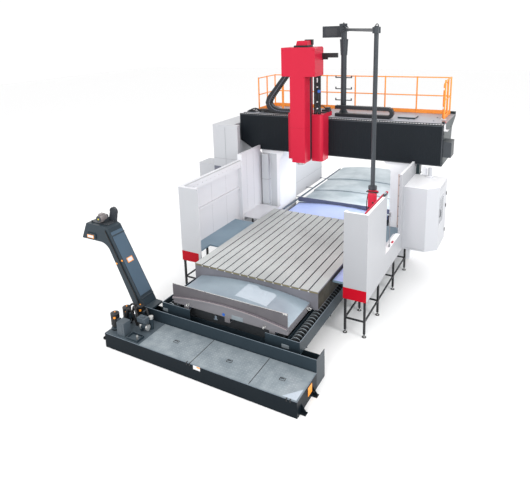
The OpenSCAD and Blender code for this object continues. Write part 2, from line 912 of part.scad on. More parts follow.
module sliding_door() {
    color("crimson")
        block(guard_out - wall_t - 40, guard_out - wall_t - 10, guard_y + 100, gap_y0 + 20,
            sill_top + slide_gap, guard_top + 40);
}

// part cut from the beam's left lower corner
module beam_corner() {
    polygon([[-beam_half - 10, beam_z - 10], [-beam_half + 420, beam_z - 10],
        [-beam_half + 420, beam_z], [-beam_half, beam_z + 250],
        [-beam_half - 10, beam_z + 250]]);
}

// flat length of guard rail along X with posts at the listed places
module rail_x(x0, x1, y, posts) {
    for (z = [rail_h, rail_h / 2])
        tube_x_way(x0, x1, y, beam_top + z, rail_tube - 8);
    block(x0, x1, y - 4, y + 4, beam_top, beam_top + 110);
    for (x = posts)
        translate([x, y, beam_top])
            cylinder(d = rail_tube, h = rail_h + rail_tube / 2, $fn = 20);
}

module rail_y(x, y0, y1, posts) {
    for (z = [rail_h, rail_h / 2])
        tube_y_way(x, y0, y1, beam_top + z, rail_tube - 8);
    block(x - 4, x + 4, y0, y1, beam_top, beam_top + 110);
    for (y = posts)
        translate([x, y, beam_top])
            cylinder(d = rail_tube, h = rail_h + rail_tube / 2, $fn = 20);
}

module left_railing() {
    color("orange") {
        rail_y(rail_x0, left_rail_y, rail_y1 - rail_tube / 2 - slide_gap,
            [left_rail_y, (left_rail_y + rail_y1) / 2]);
        translate([rail_x0 + 590, 500, beam_top])
            cylinder(d = 70, h = rail_h - 20, $fn = 24);
    }
}

module right_railing() {
    color("orange")
        rail_y(rail_x1, right_rail_y, rail_y1 - rail_tube / 2 - slide_gap,
            [right_rail_y, (right_rail_y + rail_y1) / 2]);
}

// seam number i between the lids, counted from the pump plate
function lid_x(i) = tank_x0 + 911 + (i - 1) * (tank_x1 - tank_x0 - 911) / 2.745;

// side outline of the conveyor's trough end, incline and head
module conveyor_side() {
    foot = conv_x + 298;
    polygon([[foot, 0], [foot, conv_h - 10], [conv_x - 572, 2198], [conv_x - 648, conv_top],
        [conv_x - 1230, conv_top], [conv_x - 1398, conv_top - 372],
        for (a = [0 : 6 : 60]) [conv_x - 840 + 300 * sin(a), conv_top - 672 + 300 * cos(a)],
        [conv_x, conv_h - 78], [conv_x, 0]]);
}

// wall along Y with its top box, middle rail and end post, seen from inside at x0
module guard_side(x0, x1, y0, y1, s) {
    block(x0, x1, y0, y1, guard_low, guard_top);
    xi = s > 0 ? x0 - rail_in : x1;
    xo = s > 0 ? x0 : x1 + rail_in;
    block(xi, xo, y0, y1, guard_top - 190, guard_top);
    block(s > 0 ? x0 - 40 : x1, s > 0 ? x0 : x1 + 40, y0, y1, 1870, 1930);
    block(s > 0 ? x0 - 40 : x1, s > 0 ? x0 : x1 + 40, y0, y1, guard_low, guard_low + 60);
}

// one side's legs with their cross and lengthwise braces and levelling feet
module legs() {
    color("black")
        for (y = leg_y) {
            for (x = [leg_in, leg_out]) {
                block(x - 22, x + 22, y - 22, y + 22, 70,
                    x < 2000 && y > guard_y + 100 ? deck_top - 40 : guard_low);
                translate([x, y, 12])
                    cylinder(d = 24, h = 60, $fn = 20);
                translate([x, y, 0])
                    cylinder(d = 90, h = 12);
            }
            block(leg_in, leg_out, y - 15, y + 15, 335, 365);
        }
    color("black")
        for (x = [leg_in, leg_out])
            block(x - 15, x + 15, leg_y[0], leg_y[3], 335, 365);
}

module left_legs() {
    mirror([1, 0, 0])
        legs();
}

module right_legs() {
    legs();
}

module balance_rods() {
    color("black")
        for (x = rod_x) {
            translate([x, rod_y, saddle_top - 150])
                cylinder(d = rod_d, h = head_z - saddle_top + 150 - slide_gap);
            translate([x, rod_y, head_z - 30])
                cylinder(d = rod_d + 40, h = 30 - slide_gap);
        }
}

// raised ridge that follows the crown on the front plate
module crown_ridge(k0, k1, out) {
    along_y(front_cover_y - out, front_cover_y)
        intersection() {
            difference() {
                crown_shape(front_half, front_crown, crown_r, k0);
                crown_shape(front_half, front_crown, crown_r, k1);
            }
            translate([-front_half, front_crown - crown_rise - 40])
                square([2 * front_half, crown_rise + 60]);
        }
}

bed();
troughs();
left_auger();
right_auger();
columns();
crossbeam();
beam_cover();
beam_end_box();
beam_deck();
railing();
left_railing();
right_railing();
beam_chain();
pole();
coolant_tank();
tank_lids();
pumps();
chip_conveyor();
conveyor_drive();
left_guard();
left_high_guard();
right_guard();
rear_guards();
guard_bands();
left_legs();
right_legs();
platforms();
tall_cabinet();
small_cabinet();
magazine_housing();
magazine_window();
front_cover();
rear_cover();
table();
table_covers();
front_cover_a();
front_cover_b();
front_cover_c();
rear_cover_a();
rear_cover_b();
saddle();
saddle_chain();
ram();
head_box();
balance_rods();
ram_drive();
spindle();
pendant_arm();
control_station();
sliding_door();
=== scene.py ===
# Looks of a double column machining center: materials, light, camera and the small detail
# that rides on the frame. Metres, X across the table, Y back along the bed, Z up.
import math

import bmesh
import bpy
from mathutils import Matrix, Vector


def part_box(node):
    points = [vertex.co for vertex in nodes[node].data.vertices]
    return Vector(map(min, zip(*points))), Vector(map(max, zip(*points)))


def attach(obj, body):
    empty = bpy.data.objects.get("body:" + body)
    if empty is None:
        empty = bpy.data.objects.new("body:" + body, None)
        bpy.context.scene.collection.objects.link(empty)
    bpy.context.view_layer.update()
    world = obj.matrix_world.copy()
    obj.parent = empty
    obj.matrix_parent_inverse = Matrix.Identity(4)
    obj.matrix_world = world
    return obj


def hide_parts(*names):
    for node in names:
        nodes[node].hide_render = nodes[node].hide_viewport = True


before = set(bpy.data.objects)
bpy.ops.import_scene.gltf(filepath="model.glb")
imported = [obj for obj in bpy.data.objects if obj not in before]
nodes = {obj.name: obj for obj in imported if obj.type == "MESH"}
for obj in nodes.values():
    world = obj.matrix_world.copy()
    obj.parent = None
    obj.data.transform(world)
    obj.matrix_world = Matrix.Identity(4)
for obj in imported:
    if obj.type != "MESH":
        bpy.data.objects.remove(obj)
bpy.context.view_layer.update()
print("frame loaded")


# Camera, solved from the photograph
def makeCamera():
    cfg = {"at": (5.064, -13.964, 6.302), "yaw": 30.816, "pitch": -13.461, "roll": -2.0555,
           "focal": 513.07, "middle": (243.26, 151.42), "size": (530, 500)}
    yaw, pitch, roll = (math.radians(cfg[k]) for k in ("yaw", "pitch", "roll"))
    forward = Vector((-math.sin(yaw) * math.cos(pitch), math.cos(yaw) * math.cos(pitch),
                      math.sin(pitch)))
    right = Vector((math.cos(yaw), math.sin(yaw), 0))
    up = right.cross(forward)
    sideways = right * math.cos(roll) + up * math.sin(roll)
    upward = up * math.cos(roll) - right * math.sin(roll)
    data = bpy.data.cameras.new("camera")
    camera = bpy.data.objects.new("camera", data)
    bpy.context.collection.objects.link(camera)
    turn = Matrix((sideways, upward, -forward)).transposed()
    camera.matrix_world = Matrix.Translation(cfg["at"]) @ turn.to_4x4()
    wide, high = cfg["size"]
    data.sensor_width = 36
    data.lens = cfg["focal"] * 36 / wide
    data.shift_x = (wide / 2 - cfg["middle"][0]) / wide
    data.shift_y = (cfg["middle"][1] - high / 2) / wide
    data.clip_start = 0.1
    data.clip_end = 200
    bpy.context.scene.camera = camera


# Floor and soft studio light; each light is its place, size, power and, if any, its aim
def makeStage():
    cfg = {"floor": (0.93, 0.93, 0.93), "world": (1.0, 1.0, 1.0), "worldPower": 1.06,
           "lights": [((-7, -13, 13), 7, 650, None), ((12, -7, 8), 6, 900, None),
                      ((2, -17, 5), 7, 400, None), ((0, 10, 14), 9, 500, None),
                      ((0.9, -4.4, 2.9), 2, 18, (0.2, -0.6, 1.7)),
                      ((1.5, 0.9, 2.3), 1.2, 62, (-1.8, 1.1, 1.5))]}
    world = bpy.data.worlds.new("studio")
    bpy.context.scene.world = world
    bpy.context.scene.view_settings.view_transform = "Standard"
    world.use_nodes = True
    back = world.node_tree.nodes["Background"]
    back.inputs["Color"].default_value = (*cfg["world"], 1)
    back.inputs["Strength"].default_value = cfg["worldPower"]
    mesh = bpy.data.meshes.new("floor")
    half = 60
    mesh.from_pydata([(-half, -half, 0), (half, -half, 0), (half, half, 0), (-half, half, 0)],
                     [], [(0, 1, 2, 3)])
    floor = bpy.data.objects.new("floor", mesh)
    bpy.context.collection.objects.link(floor)
    paint = bpy.data.materials.new("floorPaint")
    paint.use_nodes = True
    shader = paint.node_tree.nodes["Principled BSDF"]
    shader.inputs["Base Color"].default_value = (*cfg["floor"], 1)
    shader.inputs["Roughness"].default_value = 0.8
    mesh.materials.append(paint)
    for place, size, power, toward in cfg["lights"]:
        data = bpy.data.lights.new("softbox", "AREA")
        data.shape = "DISK"
        data.size = size
        data.energy = power
        lamp = bpy.data.objects.new("softbox", data)
        bpy.context.collection.objects.link(lamp)
        lamp.location = place
        way = Vector(toward or (0, -2, 1)) - Vector(place)
        lamp.rotation_euler = way.to_track_quat("-Z", "Y").to_euler()
        lamp.visible_camera = toward is None


# Node groups shared by the materials
def newGroup(name, inputs, outputs):
    group = bpy.data.node_groups.new(name, "ShaderNodeTree")
    for label, kind, value in inputs:
        socket = group.interface.new_socket(label, in_out="INPUT", socket_type=kind)
        if value is not None:
            socket.default_value = value
    for label, kind in outputs:
        group.interface.new_socket(label, in_out="OUTPUT", socket_type=kind)
    return group, group.nodes.new("NodeGroupInput"), group.nodes.new("NodeGroupOutput")


def addNode(tree, kind, **values):
    node = tree.nodes.new(kind)
    for key, value in values.items():
        setattr(node, key, value)
    return node


def addRange(tree, low, high):
    node = tree.nodes.new("ShaderNodeMapRange")
    node.inputs["From Min"].default_value = low
    node.inputs["From Max"].default_value = high
    return node


def makeEdgeWear():
    group, come, go = newGroup("edgeWear", [("Radius", "NodeSocketFloat", 0.006),
                                            ("Amount", "NodeSocketFloat", 0.5),
                                            ("Vector", "NodeSocketVector", None)],
                               [("Mask", "NodeSocketFloat")])
    bevel = addNode(group, "ShaderNodeBevel", samples=4)
    shape = addNode(group, "ShaderNodeNewGeometry")
    dot = addNode(group, "ShaderNodeVectorMath", operation="DOT_PRODUCT")
    edge = addRange(group, 0.99, 0.90)
    noise = addNode(group, "ShaderNodeTexNoise")
    noise.inputs["Scale"].default_value = 9.0
    noise.inputs["Detail"].default_value = 6.0
    chips = addRange(group, 0.45, 0.62)
    both = addNode(group, "ShaderNodeMath", operation="MULTIPLY")
    scaled = addNode(group, "ShaderNodeMath", operation="MULTIPLY")
    link = group.links.new
    link(come.outputs["Radius"], bevel.inputs["Radius"])
    link(bevel.outputs["Normal"], dot.inputs[0])
    link(shape.outputs["Normal"], dot.inputs[1])
    link(dot.outputs["Value"], edge.inputs["Value"])
    link(come.outputs["Vector"], noise.inputs["Vector"])
    link(noise.outputs["Fac"], chips.inputs["Value"])
    link(edge.outputs["Result"], both.inputs[0])
    link(chips.outputs["Result"], both.inputs[1])
    link(both.outputs["Value"], scaled.inputs[0])
    link(come.outputs["Amount"], scaled.inputs[1])
    link(scaled.outputs["Value"], go.inputs["Mask"])
    return group


def makeMottle():
    group, come, go = newGroup("mottle", [("Color", "NodeSocketColor", None),
                                          ("Other", "NodeSocketColor", None),
                                          ("Scale", "NodeSocketFloat", 1.0),
                                          ("Amount", "NodeSocketFloat", 0.5),
                                          ("Vector", "NodeSocketVector", None)],
                               [("Color", "NodeSocketColor"), ("Value", "NodeSocketFloat")])
    noise = addNode(group, "ShaderNodeTexNoise")
    noise.inputs["Detail"].default_value = 5.0
    noise.inputs["Roughness"].default_value = 0.55
    spread = addRange(group, 0.36, 0.64)
    scaled = addNode(group, "ShaderNodeMath", operation="MULTIPLY")
    mix = addNode(group, "ShaderNodeMix", data_type="RGBA")
    link = group.links.new
    link(come.outputs["Vector"], noise.inputs["Vector"])
    link(come.outputs["Scale"], noise.inputs["Scale"])
    link(noise.outputs["Fac"], spread.inputs["Value"])
    link(spread.outputs["Result"], scaled.inputs[0])
    link(come.outputs["Amount"], scaled.inputs[1])
    link(scaled.outputs["Value"], mix.inputs["Factor"])
    link(come.outputs["Color"], mix.inputs["A"])
    link(come.outputs["Other"], mix.inputs["B"])
    link(mix.outputs["Result"], go.inputs["Color"])
    link(scaled.outputs["Value"], go.inputs["Value"])
    return group


def makeDust():
    group, come, go = newGroup("dust", [("Color", "NodeSocketColor", None),
                                        ("Dust", "NodeSocketColor", (0.5, 0.49, 0.47, 1)),
                                        ("Amount", "NodeSocketFloat", 0.15),
                                        ("Vector", "NodeSocketVector", None)],
                               [("Color", "NodeSocketColor")])
    shape = addNode(group, "ShaderNodeNewGeometry")
    split = addNode(group, "ShaderNodeSeparateXYZ")
    upward = addRange(group, 0.6, 1.0)
    noise = addNode(group, "ShaderNodeTexNoise")
    noise.inputs["Scale"].default_value = 3.0
    noise.inputs["Detail"].default_value = 8.0
    both = addNode(group, "ShaderNodeMath", operation="MULTIPLY")
    scaled = addNode(group, "ShaderNodeMath", operation="MULTIPLY")
    mix = addNode(group, "ShaderNodeMix", data_type="RGBA")
    link = group.links.new
    link(shape.outputs["Normal"], split.inputs["Vector"])
    link(split.outputs["Z"], upward.inputs["Value"])
    link(come.outputs["Vector"], noise.inputs["Vector"])
    link(upward.outputs["Result"], both.inputs[0])
    link(noise.outputs["Fac"], both.inputs[1])
    link(both.outputs["Value"], scaled.inputs[0])
    link(come.outputs["Amount"], scaled.inputs[1])
    link(scaled.outputs["Value"], mix.inputs["Factor"])
    link(come.outputs["Color"], mix.inputs["A"])
    link(come.outputs["Dust"], mix.inputs["B"])
    link(mix.outputs["Result"], go.inputs["Color"])
    return group


def makeGrain():
    group, come, go = newGroup("grain", [("Scale", "NodeSocketFloat", 200.0),
                                         ("Height", "NodeSocketFloat", 0.0004),
                                         ("Stretch", "NodeSocketVector", (1, 1, 1)),
                                         ("Vector", "NodeSocketVector", None)],
                               [("Normal", "NodeSocketVector"), ("Value", "NodeSocketFloat")])
    pull = addNode(group, "ShaderNodeVectorMath", operation="MULTIPLY")
    noise = addNode(group, "ShaderNodeTexNoise")
    noise.inputs["Detail"].default_value = 3.0
    bump = addNode(group, "ShaderNodeBump")
    bump.inputs["Strength"].default_value = 0.6
    link = group.links.new
    link(come.outputs["Vector"], pull.inputs[0])
    link(come.outputs["Stretch"], pull.inputs[1])
    link(pull.outputs["Vector"], noise.inputs["Vector"])
    link(come.outputs["Scale"], noise.inputs["Scale"])
    link(noise.outputs["Fac"], bump.inputs["Height"])
    link(come.outputs["Height"], bump.inputs["Distance"])
    link(bump.outputs["Normal"], go.inputs["Normal"])
    link(noise.outputs["Fac"], go.inputs["Value"])
    return group


wearGroup = makeEdgeWear()
mottleGroup = makeMottle()
dustGroup = makeDust()
grainGroup = makeGrain()


def useGroup(tree, group, **values):
    node = tree.nodes.new("ShaderNodeGroup")
    node.node_tree = group
    for key, value in values.items():
        node.inputs[key].default_value = value
    return node


def makeMaterial(name, color, other, patch=1.2, patchAmount=0.4, roughness=0.4, metallic=0.0,
                 grain=220.0, height=0.0004, stretch=(1, 1, 1), wear=None, wearAmount=0.35,
                 dust=0.12, top=None, specular=0.5):
    mat = bpy.data.materials.new(name)
    mat.use_nodes = True
    tree = mat.node_tree
    shader = tree.nodes["Principled BSDF"]
    place = addNode(tree, "ShaderNodeTexCoord")
    link = tree.links.new
    mottle = useGroup(tree, mottleGroup, Color=(*color, 1), Other=(*other, 1), Scale=patch,
                      Amount=patchAmount)
    link(place.outputs["Object"], mottle.inputs["Vector"])
    last = mottle.outputs["Color"]
    # Faces that look up take the top colours: the table's real ground steel top, and painted light
    # on the lighter tops of the guard, magazine, pump and way cover finishes
    if top:
        topToneAndLight = useGroup(tree, mottleGroup, Color=(*top[0], 1), Other=(*top[1], 1), Scale=top[2],
                         Amount=top[3])
        link(place.outputs["Object"], topToneAndLight.inputs["Vector"])
        shape = addNode(tree, "ShaderNodeNewGeometry")
        split = addNode(tree, "ShaderNodeSeparateXYZ")
        upward = addRange(tree, 0.8, 0.95)
        mix = addNode(tree, "ShaderNodeMix", data_type="RGBA")
        link(shape.outputs["Normal"], split.inputs["Vector"])
        link(split.outputs["Z"], upward.inputs["Value"])
        link(upward.outputs["Result"], mix.inputs["Factor"])
        link(last, mix.inputs["A"])
        link(topToneAndLight.outputs["Color"], mix.inputs["B"])
        last = mix.outputs["Result"]
    if wear:
        mask = useGroup(tree, wearGroup, Radius=0.006, Amount=wearAmount)
        link(place.outputs["Object"], mask.inputs["Vector"])
        mix = addNode(tree, "ShaderNodeMix", data_type="RGBA")
        mix.inputs["B"].default_value = (*wear, 1)
        link(mask.outputs["Mask"], mix.inputs["Factor"])
        link(last, mix.inputs["A"])
        last = mix.outputs["Result"]
    if dust > 0:
        veil = useGroup(tree, dustGroup, Amount=dust)
        link(last, veil.inputs["Color"])
        link(place.outputs["Object"], veil.inputs["Vector"])
        last = veil.outputs["Color"]
    link(last, shader.inputs["Base Color"])
    bumpy = useGroup(tree, grainGroup, Scale=grain, Height=height, Stretch=stretch)
    link(place.outputs["Object"], bumpy.inputs["Vector"])
    link(bumpy.outputs["Normal"], shader.inputs["Normal"])
    rough = addNode(tree, "ShaderNodeMapRange")
    rough.inputs["To Min"].default_value = max(0.03, roughness - 0.07)
    rough.inputs["To Max"].default_value = min(1.0, roughness + 0.07)
    link(mottle.outputs["Value"], rough.inputs["Value"])
    link(rough.outputs["Result"], shader.inputs["Roughness"])
    shader.inputs["Metallic"].default_value = metallic
    shader.inputs["Specular IOR Level"].default_value = specular
    return mat


# Finishes: color and other mottle at the scale patch, wear lightens edges, dust and top go on
# faces that look up (top is the table's ground steel, and painted light on the lighter tops of
# the guard, magazine, pump and way cover finishes), grain and height are the fine bump,
# stretched for brushed metal
materialCfg = {
    "whitePaint": dict(color=(0.640, 0.648, 0.680), other=(0.600, 0.612, 0.650), patch=0.5,
                       wear=(0.55, 0.55, 0.56), wearAmount=0.3, dust=0.04, specular=0.4),
    "cabinetPaint": dict(color=(0.46, 0.47, 0.495), other=(0.425, 0.437, 0.465), patch=0.5,
                         wear=(0.45, 0.45, 0.46), wearAmount=0.3, dust=0.03, specular=0.35),
    # Magazine white: sides painted darker as painted shade, top painted near white as painted light
    "magazinePaintShadeAndLight": dict(color=(0.46, 0.47, 0.50), other=(0.43, 0.443, 0.47), patch=0.5,
                          wear=(0.45, 0.45, 0.46), wearAmount=0.3, dust=0.03, specular=0.3,
                          top=((0.92, 0.92, 0.94), (0.88, 0.89, 0.92), 0.5, 0.5)),
    # Right guard's white: a darker copy of whitePaint as painted shade, its top near white as
    # painted light
    "guardPaintShadeAndLight": dict(color=(0.360, 0.368, 0.390), other=(0.336, 0.346, 0.367), patch=0.5,
                       wear=(0.45, 0.45, 0.46), wearAmount=0.3, dust=0.0, specular=0.35,
                       top=((0.90, 0.91, 0.93), (0.86, 0.87, 0.90), 0.5, 0.5)),
    # Columns' white, brighter than whitePaint: painted light making up for the shade under the beam
    "columnPaintLit": dict(color=(0.86, 0.87, 0.90), other=(0.82, 0.835, 0.87), patch=0.5,
                        wear=(0.6, 0.6, 0.6), wearAmount=0.2, dust=0.02, specular=0.4),
    "beamPaint": dict(color=(0.016, 0.030, 0.034), other=(0.024, 0.040, 0.045),
                      wear=(0.08, 0.10, 0.11), specular=0.25, dust=0.05,
                      top=((0.31, 0.32, 0.36), (0.25, 0.265, 0.305), 1.5, 0.6)),
    "blueGreyPaint": dict(color=(0.020, 0.032, 0.042), other=(0.028, 0.042, 0.054),
                          wear=(0.10, 0.12, 0.14), dust=0.04, specular=0.22),
    # Tank's blue-grey, a darker copy of blueGreyPaint: painted shade against the floor's bounce
    # light
    "tankPaintShaded": dict(color=(0.006, 0.010, 0.014), other=(0.009, 0.014, 0.018),
                      wear=(0.05, 0.06, 0.07), dust=0.02, specular=0.07),
    "edgePaint": dict(color=(0.17, 0.21, 0.25), other=(0.12, 0.15, 0.18), patch=3.0,
                      specular=0.4, dust=0.05),
    # Pumps' blue-grey with a lighter top: painted light from above
    "pumpPaintLitTop": dict(color=(0.020, 0.032, 0.042), other=(0.028, 0.042, 0.054),
                      wear=(0.10, 0.12, 0.14), dust=0.04, specular=0.22,
                      top=((0.085, 0.110, 0.130), (0.055, 0.075, 0.092), 4.0, 0.8)),
    # Lighter, bluer blue-grey for the incline's upward face: painted light from above
    "inclineLitPaint": dict(color=(0.062, 0.100, 0.142), other=(0.050, 0.083, 0.118), patch=1.5,
                         dust=0.03, specular=0.25),
    "motorGrey": dict(color=(0.27, 0.245, 0.245), other=(0.17, 0.155, 0.16), patch=6.0,
                      metallic=0.3, dust=0.03),
    # Light steel for strips over the laps' front lips: painted light where shade falls
    "lapLitSteel": dict(color=(0.40, 0.455, 0.49), other=(0.28, 0.335, 0.37), patch=1.3,
                     patchAmount=0.8, dust=0.02, specular=0.3),
    "boxPaint": dict(color=(0.060, 0.078, 0.094), other=(0.048, 0.063, 0.077), patch=2.0,
                     wear=(0.2, 0.22, 0.24), specular=0.4, dust=0.05),
    "lidPaint": dict(color=(0.26, 0.305, 0.335), other=(0.165, 0.205, 0.235), patch=5.0,
                     patchAmount=0.8, roughness=0.45, metallic=0.2, grain=70.0,
                     height=0.0012, wear=(0.4, 0.42, 0.44)),
    "lidRibs": dict(color=(0.31, 0.355, 0.385), other=(0.17, 0.21, 0.24), patch=5.0,
                    patchAmount=0.6, roughness=0.4, metallic=0.3),
    "deckBlue": dict(color=(0.175, 0.27, 0.345), other=(0.14, 0.215, 0.28), roughness=0.5,
                     grain=60.0, height=0.0015, wear=(0.3, 0.33, 0.36)),
    "redPaint": dict(color=(0.51, 0.014, 0.042), other=(0.46, 0.012, 0.036), patch=0.6,
                     roughness=0.38, wear=(0.55, 0.06, 0.08), wearAmount=0.2, dust=0.02,
                     specular=0.2),
    "redSeam": dict(color=(0.36, 0.006, 0.022), other=(0.30, 0.005, 0.018), specular=0.2,
                    dust=0.02),
    "crimsonPaint": dict(color=(0.42, 0.003, 0.014), other=(0.37, 0.003, 0.011),
                         wear=(0.3, 0.05, 0.06), dust=0.01, specular=0.1),
    "orangePaint": dict(color=(0.90, 0.30, 0.05), other=(0.84, 0.26, 0.04), patch=3.0,
                        roughness=0.4, wear=(0.45, 0.25, 0.12), dust=0.03, specular=0.3),
    "blackPaint": dict(color=(0.010, 0.011, 0.013), other=(0.018, 0.019, 0.022),
                       wear=(0.08, 0.08, 0.08), dust=0.04, specular=0.35),
    "darkPaint": dict(color=(0.030, 0.036, 0.043), other=(0.044, 0.051, 0.059),
                      wear=(0.12, 0.12, 0.13), dust=0.05, specular=0.3),
    "slatePanel": dict(color=(0.14, 0.15, 0.19), other=(0.11, 0.12, 0.155), specular=0.4,
                       dust=0.05),
    "castPaint": dict(color=(0.045, 0.050, 0.056), other=(0.065, 0.070, 0.076), roughness=0.55,
                      grain=90.0, height=0.002, wear=(0.15, 0.15, 0.15), specular=0.3),
    "tableSteel": dict(color=(0.19, 0.19, 0.215), other=(0.13, 0.13, 0.15), patch=1.8,
                       patchAmount=0.7, roughness=0.50, metallic=0.0, grain=160.0, height=0.0003,
                       stretch=(1, 0.05, 1), dust=0.02, specular=0.3,
                       top=((0.455, 0.475, 0.47), (0.325, 0.34, 0.34), 0.45, 0.8)),
    "damSteel": dict(color=(0.125, 0.118, 0.128), other=(0.085, 0.080, 0.09), patch=1.2,
                     patchAmount=0.8, roughness=0.38, metallic=0.2, grain=120.0, height=0.0006,
                     stretch=(0.1, 1, 1), dust=0.02, specular=0.4),
    "ridgeSteel": dict(color=(0.20, 0.175, 0.20), other=(0.15, 0.13, 0.155), patch=1.5,
                       roughness=0.5, dust=0.02, specular=0.3),
    # Front way cover steel: the bluish lighter top is painted light, a painted sheen on the upward
    # faces
    "coverSteelLitTop": dict(color=(0.235, 0.228, 0.245), other=(0.185, 0.18, 0.197), patch=1.4,
                       patchAmount=0.6, roughness=0.38, metallic=0.3, grain=120.0,
                       height=0.0006, stretch=(0.1, 1, 1), dust=0.03,
                       top=((0.31, 0.385, 0.44), (0.215, 0.27, 0.325), 1.1, 0.7)),
    "filmSheet": dict(color=(0.43, 0.49, 0.55), other=(0.34, 0.40, 0.46), patch=3.0,
                      roughness=0.3, dust=0.0),
    # Rear way cover steel: dark slate sides and light top of one steel, painted shade and painted
    # light
    "rearSteelShadeAndLight": dict(color=(0.12, 0.13, 0.19), other=(0.09, 0.10, 0.15), patch=0.9,
                      patchAmount=0.6, roughness=0.38, metallic=0.3, grain=100.0,
                      height=0.0008, stretch=(1, 0.1, 1), dust=0.03,
                      top=((0.50, 0.56, 0.60), (0.27, 0.34, 0.38), 1.3, 0.85)),
    "lavenderSheet": dict(color=(0.42, 0.51, 0.84), other=(0.34, 0.43, 0.76), patch=1.2,
                          roughness=0.4, dust=0.02, specular=0.4),
    "brightSteel": dict(color=(0.58, 0.58, 0.57), other=(0.45, 0.45, 0.44), roughness=0.32,
                        metallic=0.7, grain=300.0, height=0.0002, dust=0.04),
    "augerSteel": dict(color=(0.08, 0.085, 0.09), other=(0.04, 0.042, 0.046), patch=6.0,
                       patchAmount=0.8, roughness=0.35, metallic=0.2, dust=0.02),
    "pleatCloth": dict(color=(0.0035, 0.0065, 0.010), other=(0.006, 0.0095, 0.014), patch=2.0,
                       roughness=0.6, grain=900.0, height=0.0002, dust=0.02, specular=0.2),
    "chainPlastic": dict(color=(0.014, 0.016, 0.020), other=(0.024, 0.027, 0.032),
                         roughness=0.5, dust=0.05, specular=0.35),
    "cableRubber": dict(color=(0.010, 0.010, 0.011), other=(0.02, 0.02, 0.02), roughness=0.6,
                        specular=0.3),
    "darkGlass": dict(color=(0.10, 0.115, 0.135), other=(0.14, 0.155, 0.175), patch=3.0,
                      roughness=0.3, height=0.0, dust=0.02, specular=0.15),
    "orangePlate": dict(color=(0.90, 0.33, 0.04), other=(0.8, 0.26, 0.03), roughness=0.45,
                        dust=0.02, specular=0.3),
    "yellowDot": dict(color=(0.75, 0.62, 0.08), other=(0.68, 0.55, 0.06), roughness=0.45,
                      dust=0.02),
    "palePlate": dict(color=(0.66, 0.66, 0.68), other=(0.56, 0.56, 0.59), roughness=0.4,
                      metallic=0.1, dust=0.03),
    "bluePlate": dict(color=(0.02, 0.12, 0.50), other=(0.015, 0.10, 0.42), roughness=0.4),
    "copperStrip": dict(color=(0.62, 0.50, 0.47), other=(0.52, 0.42, 0.40), roughness=0.45,
                        metallic=0.2, dust=0.03),
    "oliveBand": dict(color=(0.20, 0.17, 0.085), other=(0.13, 0.115, 0.06), patch=6.0,
                      patchAmount=0.8, roughness=0.5, dust=0.02),
    "oliveDark": dict(color=(0.034, 0.030, 0.019), other=(0.014, 0.013, 0.010), patch=4.0,
                      patchAmount=0.8, roughness=0.5, dust=0.02, specular=0.3),
    "ductPaint": dict(color=(0.56, 0.585, 0.615), other=(0.51, 0.54, 0.57), patch=1.0,
                      dust=0.02, specular=0.3),
    "bandBlue": dict(color=(0.030, 0.062, 0.105), other=(0.022, 0.048, 0.085), dust=0.03,
                     specular=0.3),
    "seamShade": dict(color=(0.20, 0.21, 0.23), other=(0.16, 0.165, 0.18), roughness=0.7),
    "softShade": dict(color=(0.38, 0.39, 0.41), other=(0.34, 0.35, 0.37), roughness=0.7),
}
mats = {name: makeMaterial(name, **cfg) for name, cfg in materialCfg.items()}
# Which solids of the frame wear which finish
wears = {
    "whitePaint": ["left_guard", "left_high_guard", "rear_guards"],
    "guardPaintShadeAndLight": ["right_guard"],
    "magazinePaintShadeAndLight": ["magazine_housing"],
    "cabinetPaint": ["tall_cabinet", "small_cabinet"],
    "columnPaintLit": ["columns"],
    "beamPaint": ["crossbeam", "beam_deck"],
    "blueGreyPaint": ["troughs", "chip_conveyor"],
    "pumpPaintLitTop": ["pumps"],
    "tankPaintShaded": ["coolant_tank"],
    "deckBlue": ["platforms"],
    "redPaint": ["saddle", "ram", "head_box", "control_station", "sliding_door"],
    "crimsonPaint": ["guard_bands"],
    "orangePaint": ["railing", "left_railing", "right_railing"],
    "blackPaint": ["left_legs", "right_legs", "ram_drive", "balance_rods"],
    "darkPaint": ["beam_end_box", "pole", "pendant_arm", "conveyor_drive"],
    "castPaint": ["bed"],
    "tableSteel": ["table"],
    "coverSteelLitTop": ["front_cover", "front_cover_a", "front_cover_b", "front_cover_c"],
    "rearSteelShadeAndLight": ["rear_cover", "rear_cover_a", "rear_cover_b"],
    "lavenderSheet": ["table_covers"],
    "lidPaint": ["tank_lids"],
    "brightSteel": ["spindle"],
    "augerSteel": ["left_auger", "right_auger"],
    "pleatCloth": ["beam_cover"],
    "chainPlastic": ["beam_chain", "saddle_chain"],
    "darkGlass": ["magazine_window"],
}
makeCamera()
makeStage()
for finish, names in wears.items():
    for name in names:
        nodes[name].data.materials.clear()
        nodes[name].data.materials.append(mats[finish])
print("materials made")


# Places a pitch apart, and points round a circle
def steps(start, pitch, count):
    return [start + pitch * i for i in range(count)]


def circle(count, radius):
    turns = steps(0, 2 * math.pi / count, count)
    return [(radius * math.cos(t), radius * math.sin(t)) for t in turns]


# Mesh helpers: each adds closed solids to a bmesh
def boxInto(bm, low, high):
    made = bmesh.ops.create_cube(bm, size=1)
    size = [b - a for a, b in zip(low, high)]
    middle = [(a + b) / 2 for a, b in zip(low, high)]
    for vert in made["verts"]:
        vert.co = Vector(m + c * s for m, c, s in zip(middle, vert.co, size))
    return made["verts"]


def turnedInto(bm, low, high, place):
    bmesh.ops.transform(bm, matrix=place, verts=boxInto(bm, low, high))


